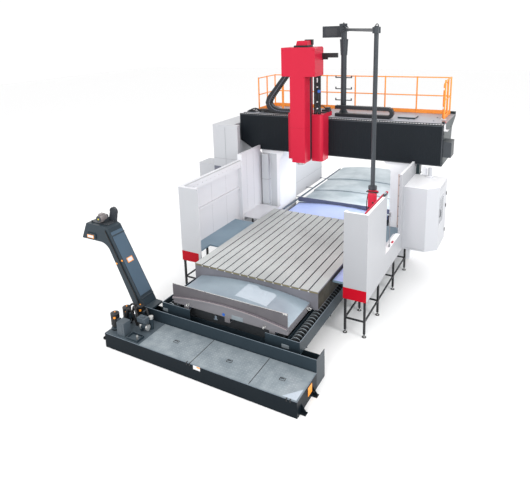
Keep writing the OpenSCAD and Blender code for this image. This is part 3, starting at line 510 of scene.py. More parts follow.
def rodInto(bm, start, end, radius, sides=12, endRadius=None):
    start, end = Vector(start), Vector(end)
    along = end - start
    turn = along.to_track_quat("Z", "Y").to_matrix().to_4x4()
    place = Matrix.Translation((start + end) / 2) @ turn
    bmesh.ops.create_cone(bm, cap_ends=True, segments=sides, radius1=radius,
                          radius2=radius if endRadius is None else endRadius,
                          depth=along.length, matrix=place)


# Closed skin over rings of points, each with as many points as the next
def skinInto(bm, rings):
    loops = [[bm.verts.new(point) for point in ring] for ring in rings]
    count = len(loops[0])
    faces = [bm.faces.new(loops[0]), bm.faces.new(loops[-1])]
    for a, b in zip(loops, loops[1:]):
        for k in range(count):
            n = (k + 1) % count
            faces.append(bm.faces.new((a[k], a[n], b[n], b[k])))
    bmesh.ops.recalc_face_normals(bm, faces=faces)


def prismInto(bm, points, way, low, high):
    skinInto(bm, [[{"x": (level, a, b), "y": (a, level, b), "z": (a, b, level)}[way]
                   for a, b in points] for level in (low, high)])


# Cuts the corners of a path a few times, its ends kept
def roundPath(points, rounds=3):
    pts = [Vector(p) for p in points]
    for _ in range(rounds):
        smooth = [pts[0]]
        for a, b in zip(pts, pts[1:]):
            smooth += [a * 0.75 + b * 0.25, a * 0.25 + b * 0.75]
        pts = smooth + [pts[-1]]
    return pts


def hoseInto(bm, points, radius, sides=10, rounds=3):
    pts = roundPath(points, rounds)
    rings = []
    across = None
    for i, point in enumerate(pts):
        along = (pts[min(i + 1, len(pts) - 1)] - pts[max(i - 1, 0)]).normalized()
        if across is None:
            across = along.orthogonal().normalized()
        across = (across - along * across.dot(along)).normalized()
        other = along.cross(across)
        rings.append([point + c * across + s * other for c, s in circle(sides, radius)])
    skinInto(bm, rings)


def boltInto(bm, place, way, radius=0.014, height=0.01):
    step = {"x": Vector((1, 0, 0)), "y": Vector((0, 1, 0)), "z": Vector((0, 0, 1)),
            "-x": Vector((-1, 0, 0)), "-y": Vector((0, -1, 0))}[way]
    rodInto(bm, Vector(place) - step * 0.002, Vector(place) + step * height, radius, 6)


def addPiece(name, bm, finish, body="base", bevel=0.0, smooth=False):
    if bevel:
        bmesh.ops.bevel(bm, geom=bm.edges[:], offset=bevel, affect="EDGES", segments=1,
                        profile=0.5, material=-1)
    mesh = bpy.data.meshes.new(name)
    bm.to_mesh(mesh)
    bm.free()
    piece = bpy.data.objects.new(name, mesh)
    bpy.context.collection.objects.link(piece)
    mesh.materials.append(mats[finish])
    if smooth:
        for face in mesh.polygons:
            face.use_smooth = len(face.vertices) == 4
    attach(piece, body)
    return piece


# One piece from its settings: lists of what goes to the helper of each kind
def addTrim(name, finish, body="base", bevel=0.0, smooth=False, **shapes):
    kinds = {"boxes": boxInto, "rods": rodInto, "prisms": prismInto, "hoses": hoseInto,
             "bolts": boltInto, "turned": turnedInto}
    bm = bmesh.new()
    for kind, settings in shapes.items():
        for values in settings:
            kinds[kind](bm, *values)
    return addPiece(name, bm, finish, body, bevel, smooth)


def addTrims(cfg):
    for name, settings in cfg.items():
        addTrim(name, **settings)


# Soft edges on the solids of the frame, width in metres
def softenNodes():
    cfg = {"columns": 0.012, "crossbeam": 0.01, "ram": 0.012, "head_box": 0.012,
           "saddle": 0.008, "tall_cabinet": 0.01, "small_cabinet": 0.01,
           "magazine_housing": 0.012, "left_guard": 0.004, "right_guard": 0.004,
           "left_high_guard": 0.004, "rear_guards": 0.004, "coolant_tank": 0.003,
           "table": 0.002, "bed": 0.006, "conveyor_drive": 0.004, "chip_conveyor": 0.003,
           "control_station": 0.01, "beam_end_box": 0.006}
    for name, width in cfg.items():
        soft = nodes[name].modifiers.new("soften", "BEVEL")
        soft.width = width
        soft.segments = 2
        soft.limit_method = "ANGLE"
        soft.angle_limit = math.radians(40)


softenNodes()
print("edges softened")


# Pleated skin of the beam cover, with its frame bars and the toothed strip above it
def makeBeamFront():
    cfg = {"half": 2.94, "front": -0.6505, "deep": 0.003, "pitch": 0.025, "low": 2.735,
           "high": 3.76, "corner": (-2.53, -2.95, 0.25)}  # the left end's lower corner is cut
    bm = bmesh.new()
    inner, outer, rise = cfg["corner"]
    high, back = cfg["high"], cfg["front"] + 0.002
    columns = []
    for i, x in enumerate(steps(-cfg["half"], cfg["pitch"],
                                int(2 * cfg["half"] / cfg["pitch"]) + 1)):
        low = cfg["low"] + (max(0.0, (inner - x) / (inner - outer)) * rise)
        y = cfg["front"] - (cfg["deep"] if i % 2 else 0)
        columns.append([(x, y, low), (x, y, high), (x, back, high), (x, back, low)])
    skinInto(bm, columns)
    addPiece("coverPleats", bm, "pleatCloth")
    cfg = {
        "coverBars": dict(finish="darkPaint", bevel=0.001, boxes=[
            ((-2.945, -0.656, 3.745), (2.945, -0.65, 3.772)),
            ((-2.53, -0.656, 2.722), (2.945, -0.65, 2.745)),
            ((2.918, -0.657, 2.722), (2.948, -0.65, 3.772)),
            ((-2.948, -0.657, 2.985), (-2.918, -0.65, 3.772))]),
        "coverTeeth": dict(finish="palePlate", boxes=[
            ((x, -0.640, 3.789), (x + 0.045, -0.598, 3.797)) for x in steps(-2.92, 0.07, 84)]),
    }
    addTrims(cfg)


makeBeamFront()
print("beam front made")


# Link plates along a path in the X-Z plane, standing a little proud of the band
def chainInto(bm, path, y0, y1, half, pitch=0.062):
    pts = roundPath([(a, 0, b) for a, b in path])
    rest = 0.0
    for a, b in zip(pts, pts[1:]):
        length = (b - a).length
        step = rest
        along = (b - a).normalized()
        up = (-along.z, 0, along.x)
        turn = Matrix((along, (0, 1, 0), up)).transposed().to_4x4()
        while step < length:
            place = Matrix.Translation(a + along * step) @ turn
            for low, high in ((y0 - 0.004, y0 + 0.010), (y1 - 0.010, y1 + 0.004)):
                turnedInto(bm, (-0.024, low, -half), (0.024, high, half), place)
            for side in (-half, half):
                turnedInto(bm, (-0.009, y0, side - 0.003), (0.009, y1, side + 0.004), place)
            step += pitch
        rest = step - length


def makeChains():
    cfg = {"right": [(-0.05, 3.819), (1.30, 3.819), (1.525, 3.819), (1.525, 4.039),
                     (1.30, 4.039), (-0.05, 4.039)],
           "left": [(-2.5, 3.819), (-1.25, 3.819)],
           "saddle": [(-1.10, 3.93), (-1.60, 3.905), (-1.85, 3.96), (-1.975, 4.13),
                      (-1.92, 4.27), (-1.39, 4.945)]}
    y0, y1, half = -0.18, -0.04, 0.046  # sides and half height of the beam's chain
    bm = bmesh.new()
    chainInto(bm, cfg["right"], y0, y1, half)
    chainInto(bm, cfg["left"], y0, y1, half)
    addPiece("beamLinks", bm, "chainPlastic")
    bm = bmesh.new()
    chainInto(bm, cfg["saddle"], -0.59, -0.45, 0.055)
    addPiece("saddleLinks", bm, "chainPlastic", "saddle")
    bm = bmesh.new()
    chainInto(bm, cfg["saddle"], -0.594, -0.446, 0.010)
    addPiece("saddlePins", bm, "slatePanel", "saddle")


makeChains()
print("chains made")


# True helical flights for the chip augers, each with a lighter rim along its edge as a painted
# highlight
def helixInto(bm, centre, length, pitch, hand, inner, outer, half):
    x, y0, z = centre
    each = 20  # stations in a turn
    rings = []
    for i in range(int(length / pitch * each) + 1):
        turn = hand * 2 * math.pi * i / each
        y = y0 + pitch * i / each
        c, s = math.cos(turn), math.sin(turn)
        rings.append([(x + r * c, y + side, z + r * s)
                      for r, side in ((inner, -half), (outer, -half),
                                      (outer, half), (inner, half))])
    skinInto(bm, rings)


def makeAuger(name, node, x, hand):
    cfg = {"radius": 0.109, "shaft": 0.030, "pitch": 0.11, "half": 0.006, "ends": (0.07, 0.1),
           "rim": (0.100, 0.110, 0.007)}
    low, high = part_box(node)
    z = (low[2] + high[2]) / 2
    centre = (x, low[1] + cfg["ends"][0], z)
    length = high[1] - cfg["ends"][1] - centre[1]
    bm = bmesh.new()
    helixInto(bm, centre, length, cfg["pitch"], hand, cfg["shaft"] - 0.004, cfg["radius"],
              cfg["half"])
    rodInto(bm, (x, low[1], z), (x, high[1], z), cfg["shaft"], 20)
    piece = addPiece(name, bm, "augerSteel", node)
    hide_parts(node)
    # A lighter rim on each flight's edge: painted highlight
    bm = bmesh.new()
    helixInto(bm, centre, length, cfg["pitch"], hand, *cfg["rim"])
    addPiece(name + "RimHighlight", bm, "lidRibs", node)


makeAuger("leftFlights", "left_auger", -1.44, 1)
makeAuger("rightFlights", "right_auger", 1.44, -1)
print("augers made")


# Table: gutter band, slot plugs, side sheets
def makeTableTrim():
    cfg = {
        "tableGutter": dict(finish="oliveBand", body="table", bevel=0.002, boxes=[
            ((-1.5, -5.291, 1.100), (1.5, -5.283, 1.128))]),
        "slotPlugs": dict(finish="palePlate", body="table", bevel=0.002, boxes=[
            ((x - 0.016, -5.2935, 1.099), (x + 0.016, -5.283, 1.118))
             for x in steps(-1.3, 0.2, 14)]),
        "tableSides": dict(finish="oliveDark", body="table", bevel=0.001, boxes=[
            ((side * 1.502 - 0.002, -5.27, 0.75), (side * 1.502 + 0.002, -1.30, 1.10))
             for side in (-1, 1)
        ], rods=[
            ((side * 1.490, y, 0.90), (side * 1.506, y, 0.90), 0.03, 20) for side in (-1, 1)
             for y in steps(-4.9, 0.8, 5)]),
    }
    addTrims(cfg)


makeTableTrim()
print("table trim made")


# Height of a crowned cover at x: an arc through its two edges and its top
def crownHeight(x, half, top, rise):
    radius = half * half / (2 * rise) + rise / 2
    return top - radius + math.sqrt(radius * radius - x * x)


# Thin sheet that follows a crown, from line y0 to line y1, which may change with x
def makeSheet(name, finish, crown, y0, y1, x0, x1, lift, rows=48):
    half, top, rise = crown
    bm = bmesh.new()
    lines = []
    for x in steps(x0, (x1 - x0) / rows, rows + 1):
        low = crownHeight(x, half, top, rise) - 0.001
        high = low + 0.001 + lift
        near, far = (y0(x), y1(x)) if callable(y0) else (y0, y1)
        lines.append([(x, near, low), (x, far, low), (x, far, high), (x, near, high)])
    skinInto(bm, lines)
    addPiece(name, bm, finish)


# Lifting eye: a flange and a loop that stands out
def eyeBoltInto(bm, x, y, z, way):
    out = {"y": Vector((0, -1, 0)), "x": Vector((1, 0, 0))}[way]
    base = Vector((x, y, z))
    rodInto(bm, base - out * 0.004, base + out * 0.016, 0.030, 16)
    side = Vector((0, 0, 1))
    hoseInto(bm, [base + out * 0.012 - side * 0.020, base + out * 0.045 - side * 0.034,
                  base + out * 0.085, base + out * 0.045 + side * 0.034,
                  base + out * 0.012 + side * 0.020], 0.009, 8)


# Way covers: film sheet, skin and ridges of the front one, laps of the rear ones; trough edges.
# The laps' light strips over their front lips are painted light.
def makeCoverTrim():
    crown = (1.33, 1.0, 0.125)  # half width, top and rise
    half, top, rise = crown
    edge = [(-0.06, -5.37), (0.17, -5.36), (0.30, -5.46), (0.62, -5.45), (0.70, -5.52)]

    def farEdge(x):
        for (xa, ya), (xb, yb) in zip(edge, edge[1:]):
            if x <= xb:
                return ya + (yb - ya) * max(0.0, x - xa) / (xb - xa)
        return edge[-1][1]

    makeSheet("crownFilm", "filmSheet", crown, lambda x: -5.93 - 0.06 * x, farEdge, -0.05, 0.69,
              0.0015, rows=24)
    arc = [(x, crownHeight(x, *crown) - 0.004) for x in steps(-half, half / 20, 41)]
    addTrim("damSkin", "damSteel",
            prisms=[(arc + [(half, 1.163), (-half, 1.163)], "y", -6.3318, -6.329)])
    ridges = {"ridgeTop": ("ridgeSteel", 0.005, -6.379, -6.331, 0.0012),
              "ridgeLine": ("darkPaint", 0.005, -6.358, -6.352, 0.0018),
              "ridgeEdge": ("copperStrip", 0.005, -6.3812, -6.377, 0.0016),
              "ridgeShade": ("darkPaint", 0.060, -6.3325, -6.3285, 0.003)}
    for name, (finish, under, y0, y1, lift) in ridges.items():
        makeSheet(name, finish, (half, top - under, rise), y0, y1, -half, half, lift)
    rearHalf = 1.48
    # Light strips over the laps' front lips, where shade falls: painted light
    laps = {"lapLightStrip": ("rear_cover", 1.025, "base"),
            "lapLightStripInner": ("rear_cover_b", 1.0, "rear_cover_b")}
    for name, (node, top, body) in laps.items():
        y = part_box(node)[0][1]
        arc = [(x, crownHeight(x, rearHalf, top, rise)) for x in steps(-1.44, 0.072, 41)]
        outline = [(x, z - 0.001) for x, z in arc] + [(x, z - 0.020) for x, z in arc[::-1]]
        addTrim(name, "lapLitSteel", body, prisms=[(outline, "y", y - 0.004, y + 0.001)])
    cfg = {
        "damEdge": dict(finish="brightSteel", bevel=0.0005, boxes=[
            ((-1.33, -6.3315, 1.1635), (1.33, -6.3165, 1.1665)),
            ((1.24, -6.334, 1.135), (1.33, -6.3165, 1.1645))]),
    }
    addTrims(cfg)
    bm = bmesh.new()
    eyeBoltInto(bm, -0.948, -6.33, 0.775, "y")
    eyeBoltInto(bm, 0.847, -6.33, 0.775, "y")
    eyeBoltInto(bm, 1.33, -5.41, 0.80, "x")
    addPiece("eyeBolts", bm, "brightSteel", smooth=True)
    cfg = {
        "coverPlates": dict(finish="lidRibs", bevel=0.001, boxes=[
            ((0.107, -6.334, 0.728), (0.365, -6.329, 0.818))]),
        "coverBracket": dict(finish="edgePaint", bevel=0.001, boxes=[
            ((-0.295, -6.334, 0.62), (-0.250, -6.325, 0.69)),
            ((-0.315, -6.345, 0.615), (-0.230, -6.325, 0.623))]),
        "coverDisc": dict(finish="bluePlate", bevel=0.0005, rods=[
            ((-0.081, -6.328, 0.775), (-0.081, -6.3345, 0.775), 0.032, 24)]),
        "coverBolts": dict(finish="darkPaint", bolts=[
            *[((x, -6.33, 1.145), "-y", 0.007, 0.004) for x in steps(-1.27, 0.1104, 24)],
            *[((1.33, y, 0.765), "x", 0.008, 0.006) for y in steps(-6.24, 0.10, 9)]]),
        "troughEdges": dict(finish="edgePaint", bevel=0.001, boxes=[
            *[((side * 1.595 - 0.006, -6.39, 0.689), (side * 1.595 + 0.006, 4.58, 0.693))
             for side in (-1, 1)],
            ((0.88, -6.391, 0.689), (1.60, -6.379, 0.693)),
            ((-1.60, -6.391, 0.689), (-0.88, -6.379, 0.693))]),
        "troughPlates": dict(finish="lidRibs", bevel=0.001, boxes=[
            ((1.227, -6.394, 0.49), (1.38, -6.389, 0.565)),
            ((-1.585, -6.394, 0.50), (-1.46, -6.389, 0.565))]),
    }
    addTrims(cfg)


makeCoverTrim()
print("cover trim made")


# Guards and columns: panel seams, bolts, duct, seal strip, latch bar, deck film, foot nuts
def makeGuardTrim():
    cfg = {
        "guardSeams": dict(finish="seamShade", boxes=[
            *[((-2.3082, y - 0.003, 0.82), (-2.307, y + 0.003, 2.68)) for y in (-3.75, -2.85)],
            ((3.0965, -1.50, 2.36), (3.0982, -0.62, 2.366)),
            ((2.36, -1.7945, 0.87), (2.80, -1.7925, 0.876))]),
        "guardGroove": dict(finish="softShade", boxes=[
            ((-2.215, -4.60, 2.694), (-2.155, -2.0, 2.697)),
            ((-2.2475, -4.60, 1.93), (-2.2440, -2.0, 1.934)),
            *[((-2.2475, y - 0.003, 0.90), (-2.2462, y + 0.003, 2.48))
             for y in (-4.05, -3.40, -2.70)],
            *[((-2.2475, y - 0.004, 1.10), (-2.2462, y + 0.004, 2.80)) for y in (-1.55, -1.15)]]),
        "guardBolts": dict(finish="brightSteel", bolts=[
            *[((-2.147, y, 2.60), "x", 0.010, 0.007) for y in steps(-4.5, 0.19, 14)],
            *[((2.247, y, 2.66), "-x", 0.008, 0.006) for y in steps(-4.5, 0.09, 14)]]),
        "columnDuct": dict(finish="ductPaint", bevel=0.003, boxes=[
            ((-2.205, -0.705, 0.90), (-1.985, -0.56, 2.60)),
            ((-1.972, -0.573, 0.84), (-1.762, -0.567, 2.60))]),
        "columnLines": dict(finish="softShade", boxes=[
            *[((-2.212, -0.712, z), (-1.978, -0.56, z + 0.012)) for z in (0.905, 1.02, 1.80)],
            ((-1.7475, 0.70, 1.30), (-1.7455, 3.05, 1.306)),
            ((-1.7475, 2.95, 0.90), (-1.7455, 2.956, 1.62))]),
        "sealStrip": dict(finish="bandBlue", bevel=0.002, boxes=[
            ((-1.565, -0.62, 0.878), (-1.515, 4.40, 0.900)),
            *[((-1.80, y, 0.884), (-1.55, y + 0.04, 0.894)) for y in (0.62, 1.70, 2.95)]]),
        "columnStrip": dict(finish="copperStrip", bevel=0.001, boxes=[
            ((1.869, -0.578, 0.85), (1.948, -0.569, 2.38))]),
        "stripBolts": dict(finish="darkPaint", rods=[
            ((1.908, -0.575, z), (1.908, -0.590, z), 0.016, 12)
             for z in (0.92, 1.20, 1.48, 1.78, 2.08, 2.32)]),
        "latchBar": dict(finish="seamShade", bevel=0.001, boxes=[
            ((2.262, -2.887, 1.295), (2.276, -2.873, 2.12)),
            ((2.255, -2.905, 2.03), (2.285, -2.855, 2.13)),
            ((2.255, -2.905, 1.292), (2.285, -2.855, 1.36))]),
        "latchMarks": dict(finish="redPaint", bevel=0.002, boxes=[
            ((2.252, -2.64, 1.292), (2.290, -2.56, 1.325)),
            ((2.258, -3.285, 2.32), (2.285, -3.262, 2.35)),
            ((2.250, -3.27, 2.71), (2.300, -3.225, 2.745))]),
        "guardBracket": dict(finish="beamPaint", bevel=0.002, boxes=[
            ((2.248, -3.47, 2.693), (2.302, -3.26, 2.712)),
            ((2.252, -3.44, 2.71), (2.298, -3.30, 2.745))
        ], rods=[((2.275, -3.47, 2.725), (2.275, -3.25, 2.725), 0.012, 12)]),
        # Darker panel over the left guard's front post: painted shade
        "postShadePanel": dict(finish="cabinetPaint", bevel=0.001, boxes=[
            ((-2.302, -4.7065, 0.815), (-1.745, -4.7035, 2.685))]),
        "deckFilm": dict(finish="lavenderSheet", bevel=0.0005, boxes=[
            ((1.525, -4.48, 1.0395), (2.195, -2.30, 1.0425))]),
        "deckEdge": dict(finish="whitePaint", bevel=0.001, boxes=[
            ((1.53, -2.29, 1.0395), (2.19, -2.06, 1.0425)),
            ((2.15, -2.98, 1.042), (2.20, -2.06, 1.29))]),
        "footNuts": dict(finish="brightSteel", rods=[
            *[((side * x, y, 0.012), (side * x, y, 0.028), 0.022, 12, 0.014) for side in (-1, 1)
             for y in (-4.665, -3.705, -2.414, -1.260) for x in (1.856, 2.267)],
            *[((side * x, y, 0.060), (side * x, y, 0.072), 0.016, 6) for side in (-1, 1)
             for y in (-4.665, -3.705, -2.414, -1.260) for x in (1.856, 2.267)]]),
    }
    addTrims(cfg)


makeGuardTrim()
print("guard trim made")


# Cabinets and magazine: tall cabinet, grille, door seams, hinges, window frame
def makeCabinetTrim():
    cfg = {
        "cabinetGrille": dict(finish="seamShade", boxes=[
            *[((-3.5, -1.156, z), (-2.95, -1.149, z + 0.018)) for z in steps(0.5, 0.045, 9)],
            ((-3.6, -1.1545, 0.4), (-2.8, -1.150, 0.405)),
            ((-3.205, -1.1535, 0.42), (-3.199, -1.149, 3.42)),
            ((-3.63, -1.1535, 2.44), (-2.78, -1.149, 2.445))]),
    }
    addTrims(cfg)
    piece = addTrim("tallCabinet", "cabinetPaint", bevel=0.01, prisms=[
        ([(-3.646, -1.15), (-2.764, -1.15), (-2.764, -0.985), (-2.975, -0.985), (-2.975, 0.40),
          (-3.646, 0.40)], "z", 0, 3.494)])
    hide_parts("tall_cabinet")
    cfg = {
        "cabinetPanel": dict(finish="slatePanel", bevel=0.001, boxes=[
            ((-3.64, -1.158, 2.03), (-3.40, -1.149, 2.19)),
            *[((-3.62, -1.161, z), (-3.42, -1.157, z + 0.012)) for z in steps(2.06, 0.03, 4)]]),
        "magazineHinges": dict(finish="darkPaint", boxes=[
            ((3.095, -0.655, z), (3.108, -0.615, z + 0.08)) for z in (1.02, 1.68, 2.00)
        ], rods=[
            ((3.108, -0.635, z - 0.006), (3.108, -0.635, z + 0.086), 0.007, 12)
             for z in (1.02, 1.68, 2.00)
        ], hoses=[
            ([(3.103, -1.525, 1.70), (3.133, -1.525, 1.70), (3.133, -1.525, 1.88),
              (3.103, -1.525, 1.88)], 0.008, 8)]),
        "windowFrame": dict(finish="whitePaint", bevel=0.001, boxes=[
            *[((3.107, y - 0.012, 1.475), (3.112, y + 0.012, 2.135))
             for y in (-1.503, -1.36, -1.20, -1.055)],
            *[((3.107, -1.512, z), (3.112, -1.045, z + 0.018)) for z in (1.475, 2.118)]]),
        "beamBracket": dict(finish="beamPaint", bevel=0.003, boxes=[
            ((2.312, -0.57, 2.44), (2.40, -0.34, 2.72)),
            ((2.30, -0.58, 2.43), (2.41, -0.33, 2.45))]),
    }
    addTrims(cfg)


makeCabinetTrim()
print("cabinet trim made")


# Coolant tank: lid pulls and seams, catches, checker ribs, film, bare plates, edge strips
def makeTankTrim():
    low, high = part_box("tank_lids")
    z = high[2]
    pulls = ((-0.804, -6.968), (0.453, -7.002), (1.541, -6.997))
    cfg = {
        "lidHandles": dict(finish="blackPaint", boxes=[
            *[((x - 0.055, y + side - 0.004, z - 0.001), (x + 0.055, y + side + 0.004, z + 0.004))
             for x, y in pulls for side in (-0.036, 0.036)],
            *[((x + side - 0.004, y - 0.04, z - 0.001), (x + side + 0.004, y + 0.04, z + 0.004))
             for x, y in pulls for side in (-0.051, 0.051)],
            *[((x - 0.047, y + 0.004, z - 0.001), (x + 0.030, y + 0.012, z + 0.010))
             for x, y in pulls],
            *[((x - 0.010, -7.408, 0.27), (x + 0.010, -7.402, 0.322))
             for x in (-0.24, -0.173, 1.81, 1.877)],
            *[((x - 0.010, -7.408, 0.317), (x + 0.010, -7.36, 0.326))
             for x in (-0.24, -0.173, 1.81, 1.877)],
            *[((x - 0.007, low[1] + 0.01, z - 0.002), (x + 0.007, high[1] - 0.01, z + 0.0012))
             for x in (-0.167, 1.075)]
        ], rods=[((1.999, -6.74, 0.07), (2.04, -6.74, 0.07), 0.02, 12)]),
    }
    addTrims(cfg)
    checker = {"pitch": 0.06, "rim": 0.1, "long": 0.020, "wide": 0.006, "proud": 0.003}
    pitch = checker["pitch"]
    across, along = (steps(low[k] + pitch, pitch,
                           int((high[k] - low[k] - checker["rim"]) / pitch)) for k in (0, 1))
    bm = bmesh.new()
    for i, x in enumerate(across):
        for j, y in enumerate(along):
            a, b = checker["long"], checker["wide"]
            if (i + j) % 2 == 0:
                a, b = b, a
            foot = [bm.verts.new((x + u * a, y + v * b, z))
                    for u, v in ((-1, -1), (1, -1), (1, 1), (-1, 1))]
            tip = bm.verts.new((x, y, z + checker["proud"]))
            for k in range(4):
                bm.faces.new((foot[k], foot[(k + 1) % 4], tip))
    addPiece("lidChecker", bm, "lidRibs")
    cfg = {
        "tankPlate": dict(finish="palePlate", bevel=0.001, boxes=[
            ((-0.09, -7.407, 0.235), (0.065, -7.402, 0.314))]),
        "lidFilm": dict(finish="filmSheet", prisms=[
            ([(1.72, -7.375), (1.975, -7.375), (1.975, -7.08)], "z", z - 0.001, z + 0.004)]),
        "tankTag": dict(finish="orangePlate", bevel=0.0005, boxes=[
            ((-0.01, -7.409, 0.285), (0.062, -7.406, 0.311)),
            ((1.999, -6.95, 0.10), (2.004, -6.78, 0.27))]),
        "tankEdges": dict(finish="edgePaint", bevel=0.001, boxes=[
            ((-2.32, -7.404, 0.314), (2.0, -7.391, 0.3195)),
            ((1.988, -7.403, 0.314), (2.001, -6.563, 0.3195)),
            ((-1.94, -6.5635, 0.573), (2.0, -6.552, 0.5775))]),
    }
    addTrims(cfg)


makeTankTrim()
print("tank trim made")


# Pump group: bodies with fins, tags, hoses, boxes, bright caps
def makePumpTrim():
    pumps, top = [(-2.22, -7.17), (-2.16, -6.88), (-1.94, -6.703)], 0.678
    cfg = {
        "pumpBodies": dict(finish="blackPaint", bevel=0.001, rods=[
            *[((x, y, 0.325), (x, y, 0.352), 0.097, 24) for x, y in pumps],
            *[((x, y, 0.405), (x, y, 0.642), 0.083, 24) for x, y in pumps],
            *[((x, y, 0.640), (x, y, top + 0.004), 0.092, 24) for x, y in pumps],
            *[((x, y, top), (x, y, top + 0.025), 0.07, 20, 0.04) for x, y in pumps]
        ], boxes=[
            *[((x + c - 0.004, y + s - 0.004, 0.42), (x + c + 0.004, y + s + 0.004, 0.63))
             for x, y in pumps for c, s in circle(14, 0.084)],
            ((-2.39, -7.395, 0.145), (-2.318, -7.33, 0.160)),
            ((-2.39, -7.395, 0.145), (-2.375, -7.33, 0.195))]),
        "pumpTags": dict(finish="orangePlate", bevel=0.001, boxes=[
            ((x + 0.035, y - 0.090, 0.60), (x + 0.075, y - 0.060, 0.636)) for x, y in pumps
        ], rods=[((x, y, top + 0.024), (x, y, top + 0.030), 0.016, 16) for x, y in pumps]),
        "pumpHoses": dict(finish="cableRubber", smooth=True, hoses=[
            ([(-2.17, -7.08, 0.36), (-2.09, -7.02, 0.52), (-2.03, -6.98, 0.76),
              (-1.95, -6.93, 0.62), (-1.88, -6.90, 0.34)], 0.024),
            ([(-2.08, -6.82, 0.36), (-2.02, -6.84, 0.66), (-1.95, -6.88, 0.76),
              (-1.84, -6.93, 0.64), (-1.74, -6.97, 0.40)], 0.024),
            ([(-1.86, -6.70, 0.36), (-1.76, -6.72, 0.64), (-1.68, -6.80, 0.72),
              (-1.60, -6.83, 0.54), (-1.54, -6.84, 0.34)], 0.022),
            ([(-2.25, -6.80, 0.34), (-2.27, -6.74, 0.52), (-2.16, -6.70, 0.70),
              (-2.04, -6.68, 0.56), (-2.02, -6.66, 0.36)], 0.020)]),
        "controlBoxes": dict(finish="boxPaint", bevel=0.004, boxes=[
            ((-2.0225, -7.3455, 0.322), (-1.8275, -7.1405, 0.6205)),
            ((-1.98, -7.349, 0.36), (-1.87, -7.345, 0.58)),
            ((-1.7325, -7.0555, 0.551), (-1.5175, -6.9205, 0.6505)),
            ((-1.67, -7.02, 0.649), (-1.58, -6.955, 0.672))]),
        "pumpCaps": dict(finish="brightSteel", rods=[
            *[((x, -6.983, 0.438), (x + 0.035, -6.983, 0.438), 0.062, 20)
             for x in (-1.69, -1.535)],
            ((-1.54, -7.283, 0.33), (-1.54, -7.283, 0.42), 0.022, 16),
            ((-1.54, -6.843, 0.56), (-1.54, -6.843, 0.612), 0.05, 20)]),
    }
    addTrims(cfg)


makePumpTrim()
print("pumps made")


# Chip conveyor: edge hose, incline panel painted lighter as painted light, bare plates, drive with
# its motor
def makeConveyorTrim():
    slope = math.radians(61.9)
    incline = Matrix.Translation((-2.44, -6.37, 1.498)) @ Matrix.Rotation(slope, 4, "Y")
    x, y0, z = -3.142, -6.493, 2.35  # the motor's axis and front end
    cfg = {
        "conveyorHose": dict(finish="cableRubber", smooth=True, hoses=[
            ([(-2.90, -6.575, 2.15), (-2.66, -6.577, 1.70), (-2.40, -6.577, 1.20),
              (-2.14, -6.577, 0.72), (-2.10, -6.577, 0.58)], 0.013)]),
        "headBox": dict(finish="blueGreyPaint", bevel=0.003, boxes=[
            ((-3.46, -6.590, 1.90), (-3.20, -6.562, 2.02))]),
        "conveyorPlates": dict(finish="orangePlate", bevel=0.0005, boxes=[
            ((-3.45, -6.592, 1.91), (-3.25, -6.589, 1.985)),
            *[((a - 0.022, -6.567, b - 0.018), (a + 0.022, -6.562, b + 0.018))
             for a, b in ((-2.49, 1.53), (-2.655, 1.43))]
        ], turned=[((-0.056, -0.086, -0.004), (0.056, 0.086, 0.004), incline)]),
        # Lighter skin on the incline's upward face: painted light
        "inclineLitPanel": dict(finish="inclineLitPaint", bevel=0.0005, turned=[
            ((-0.70, -0.172, -0.006), (0.80, 0.172, 0.0015), incline)]),
        "conveyorBlanks": dict(finish="palePlate", bevel=0.0005, turned=[
            ((-0.040, -0.068, 0.0), (0.040, 0.068, 0.006), incline)
        ], boxes=[((-3.435, -6.5935, 1.922), (-3.265, -6.5905, 1.975))]),
    }
    addTrims(cfg)
    piece = addTrim("driveBody", "darkPaint", bevel=0.003, boxes=[
        ((x - 0.26, y0 + 0.02, 2.232), (x + 0.25, y0 + 0.25, 2.25)),
        ((x - 0.07, y0 + 0.10, 2.25), (x + 0.07, y0 + 0.24, 2.34))
    ], rods=[
        ((x, y0, z), (x, y0 + 0.19, z), 0.075, 24),
        ((x, y0 + 0.18, z), (x, y0 + 0.25, z), 0.045, 20),
        ((x + 0.196, y0 + 0.246, 2.473), (x + 0.196, y0 + 0.306, 2.473), 0.10, 28)
    ], prisms=[
        ([(x + 0.03, 2.232), (x + 0.245, 2.232), (x + 0.29, 2.473), (x + 0.102, 2.473)], "y",
         y0 + 0.247, y0 + 0.305)])
    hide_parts("conveyor_drive")
    cfg = {
        "driveMotor": dict(finish="motorGrey", rods=[
            ((x, y0 - 0.002, z), (x, y0 + 0.19, z), 0.077, 24)
        ], turned=[
            ((0.070, 0, -0.003), (0.086, 0.13, 0.003),
             Matrix.Translation((x, y0 + 0.03, z)) @ Matrix.Rotation(t, 4, "Y"))
             for t in steps(0, 2 * math.pi / 18, 18)
        ], boxes=[((x - 0.045, y0 + 0.04, z + 0.06), (x + 0.045, y0 + 0.14, z + 0.105))]),
        "driveFlange": dict(finish="darkPaint", rods=[
            ((x, y0 - 0.014, z), (x, y0 + 0.002, z), 0.070, 24),
            ((x + 0.196, -6.252, 2.473), (x + 0.196, -6.246, 2.473), 0.08, 24),
            *[((x + dx, -6.433 + dy, 2.249), (x + dx, -6.433 + dy, 2.275), 0.02, 6)
             for dx in (-0.24, 0.22) for dy in (-0.03, 0.15)]
        ], bolts=[
            ((x + 0.196 + c, -6.25, 2.473 + s), "-y", 0.008, 0.008) for c, s in circle(6, 0.065)]),
        "driveDot": dict(finish="yellowDot", bevel=0.001, rods=[
            ((x, y0 - 0.020, z), (x, y0 - 0.012, z), 0.017, 16)]),
    }
    addTrims(cfg)


makeConveyorTrim()
print("conveyor trim made")


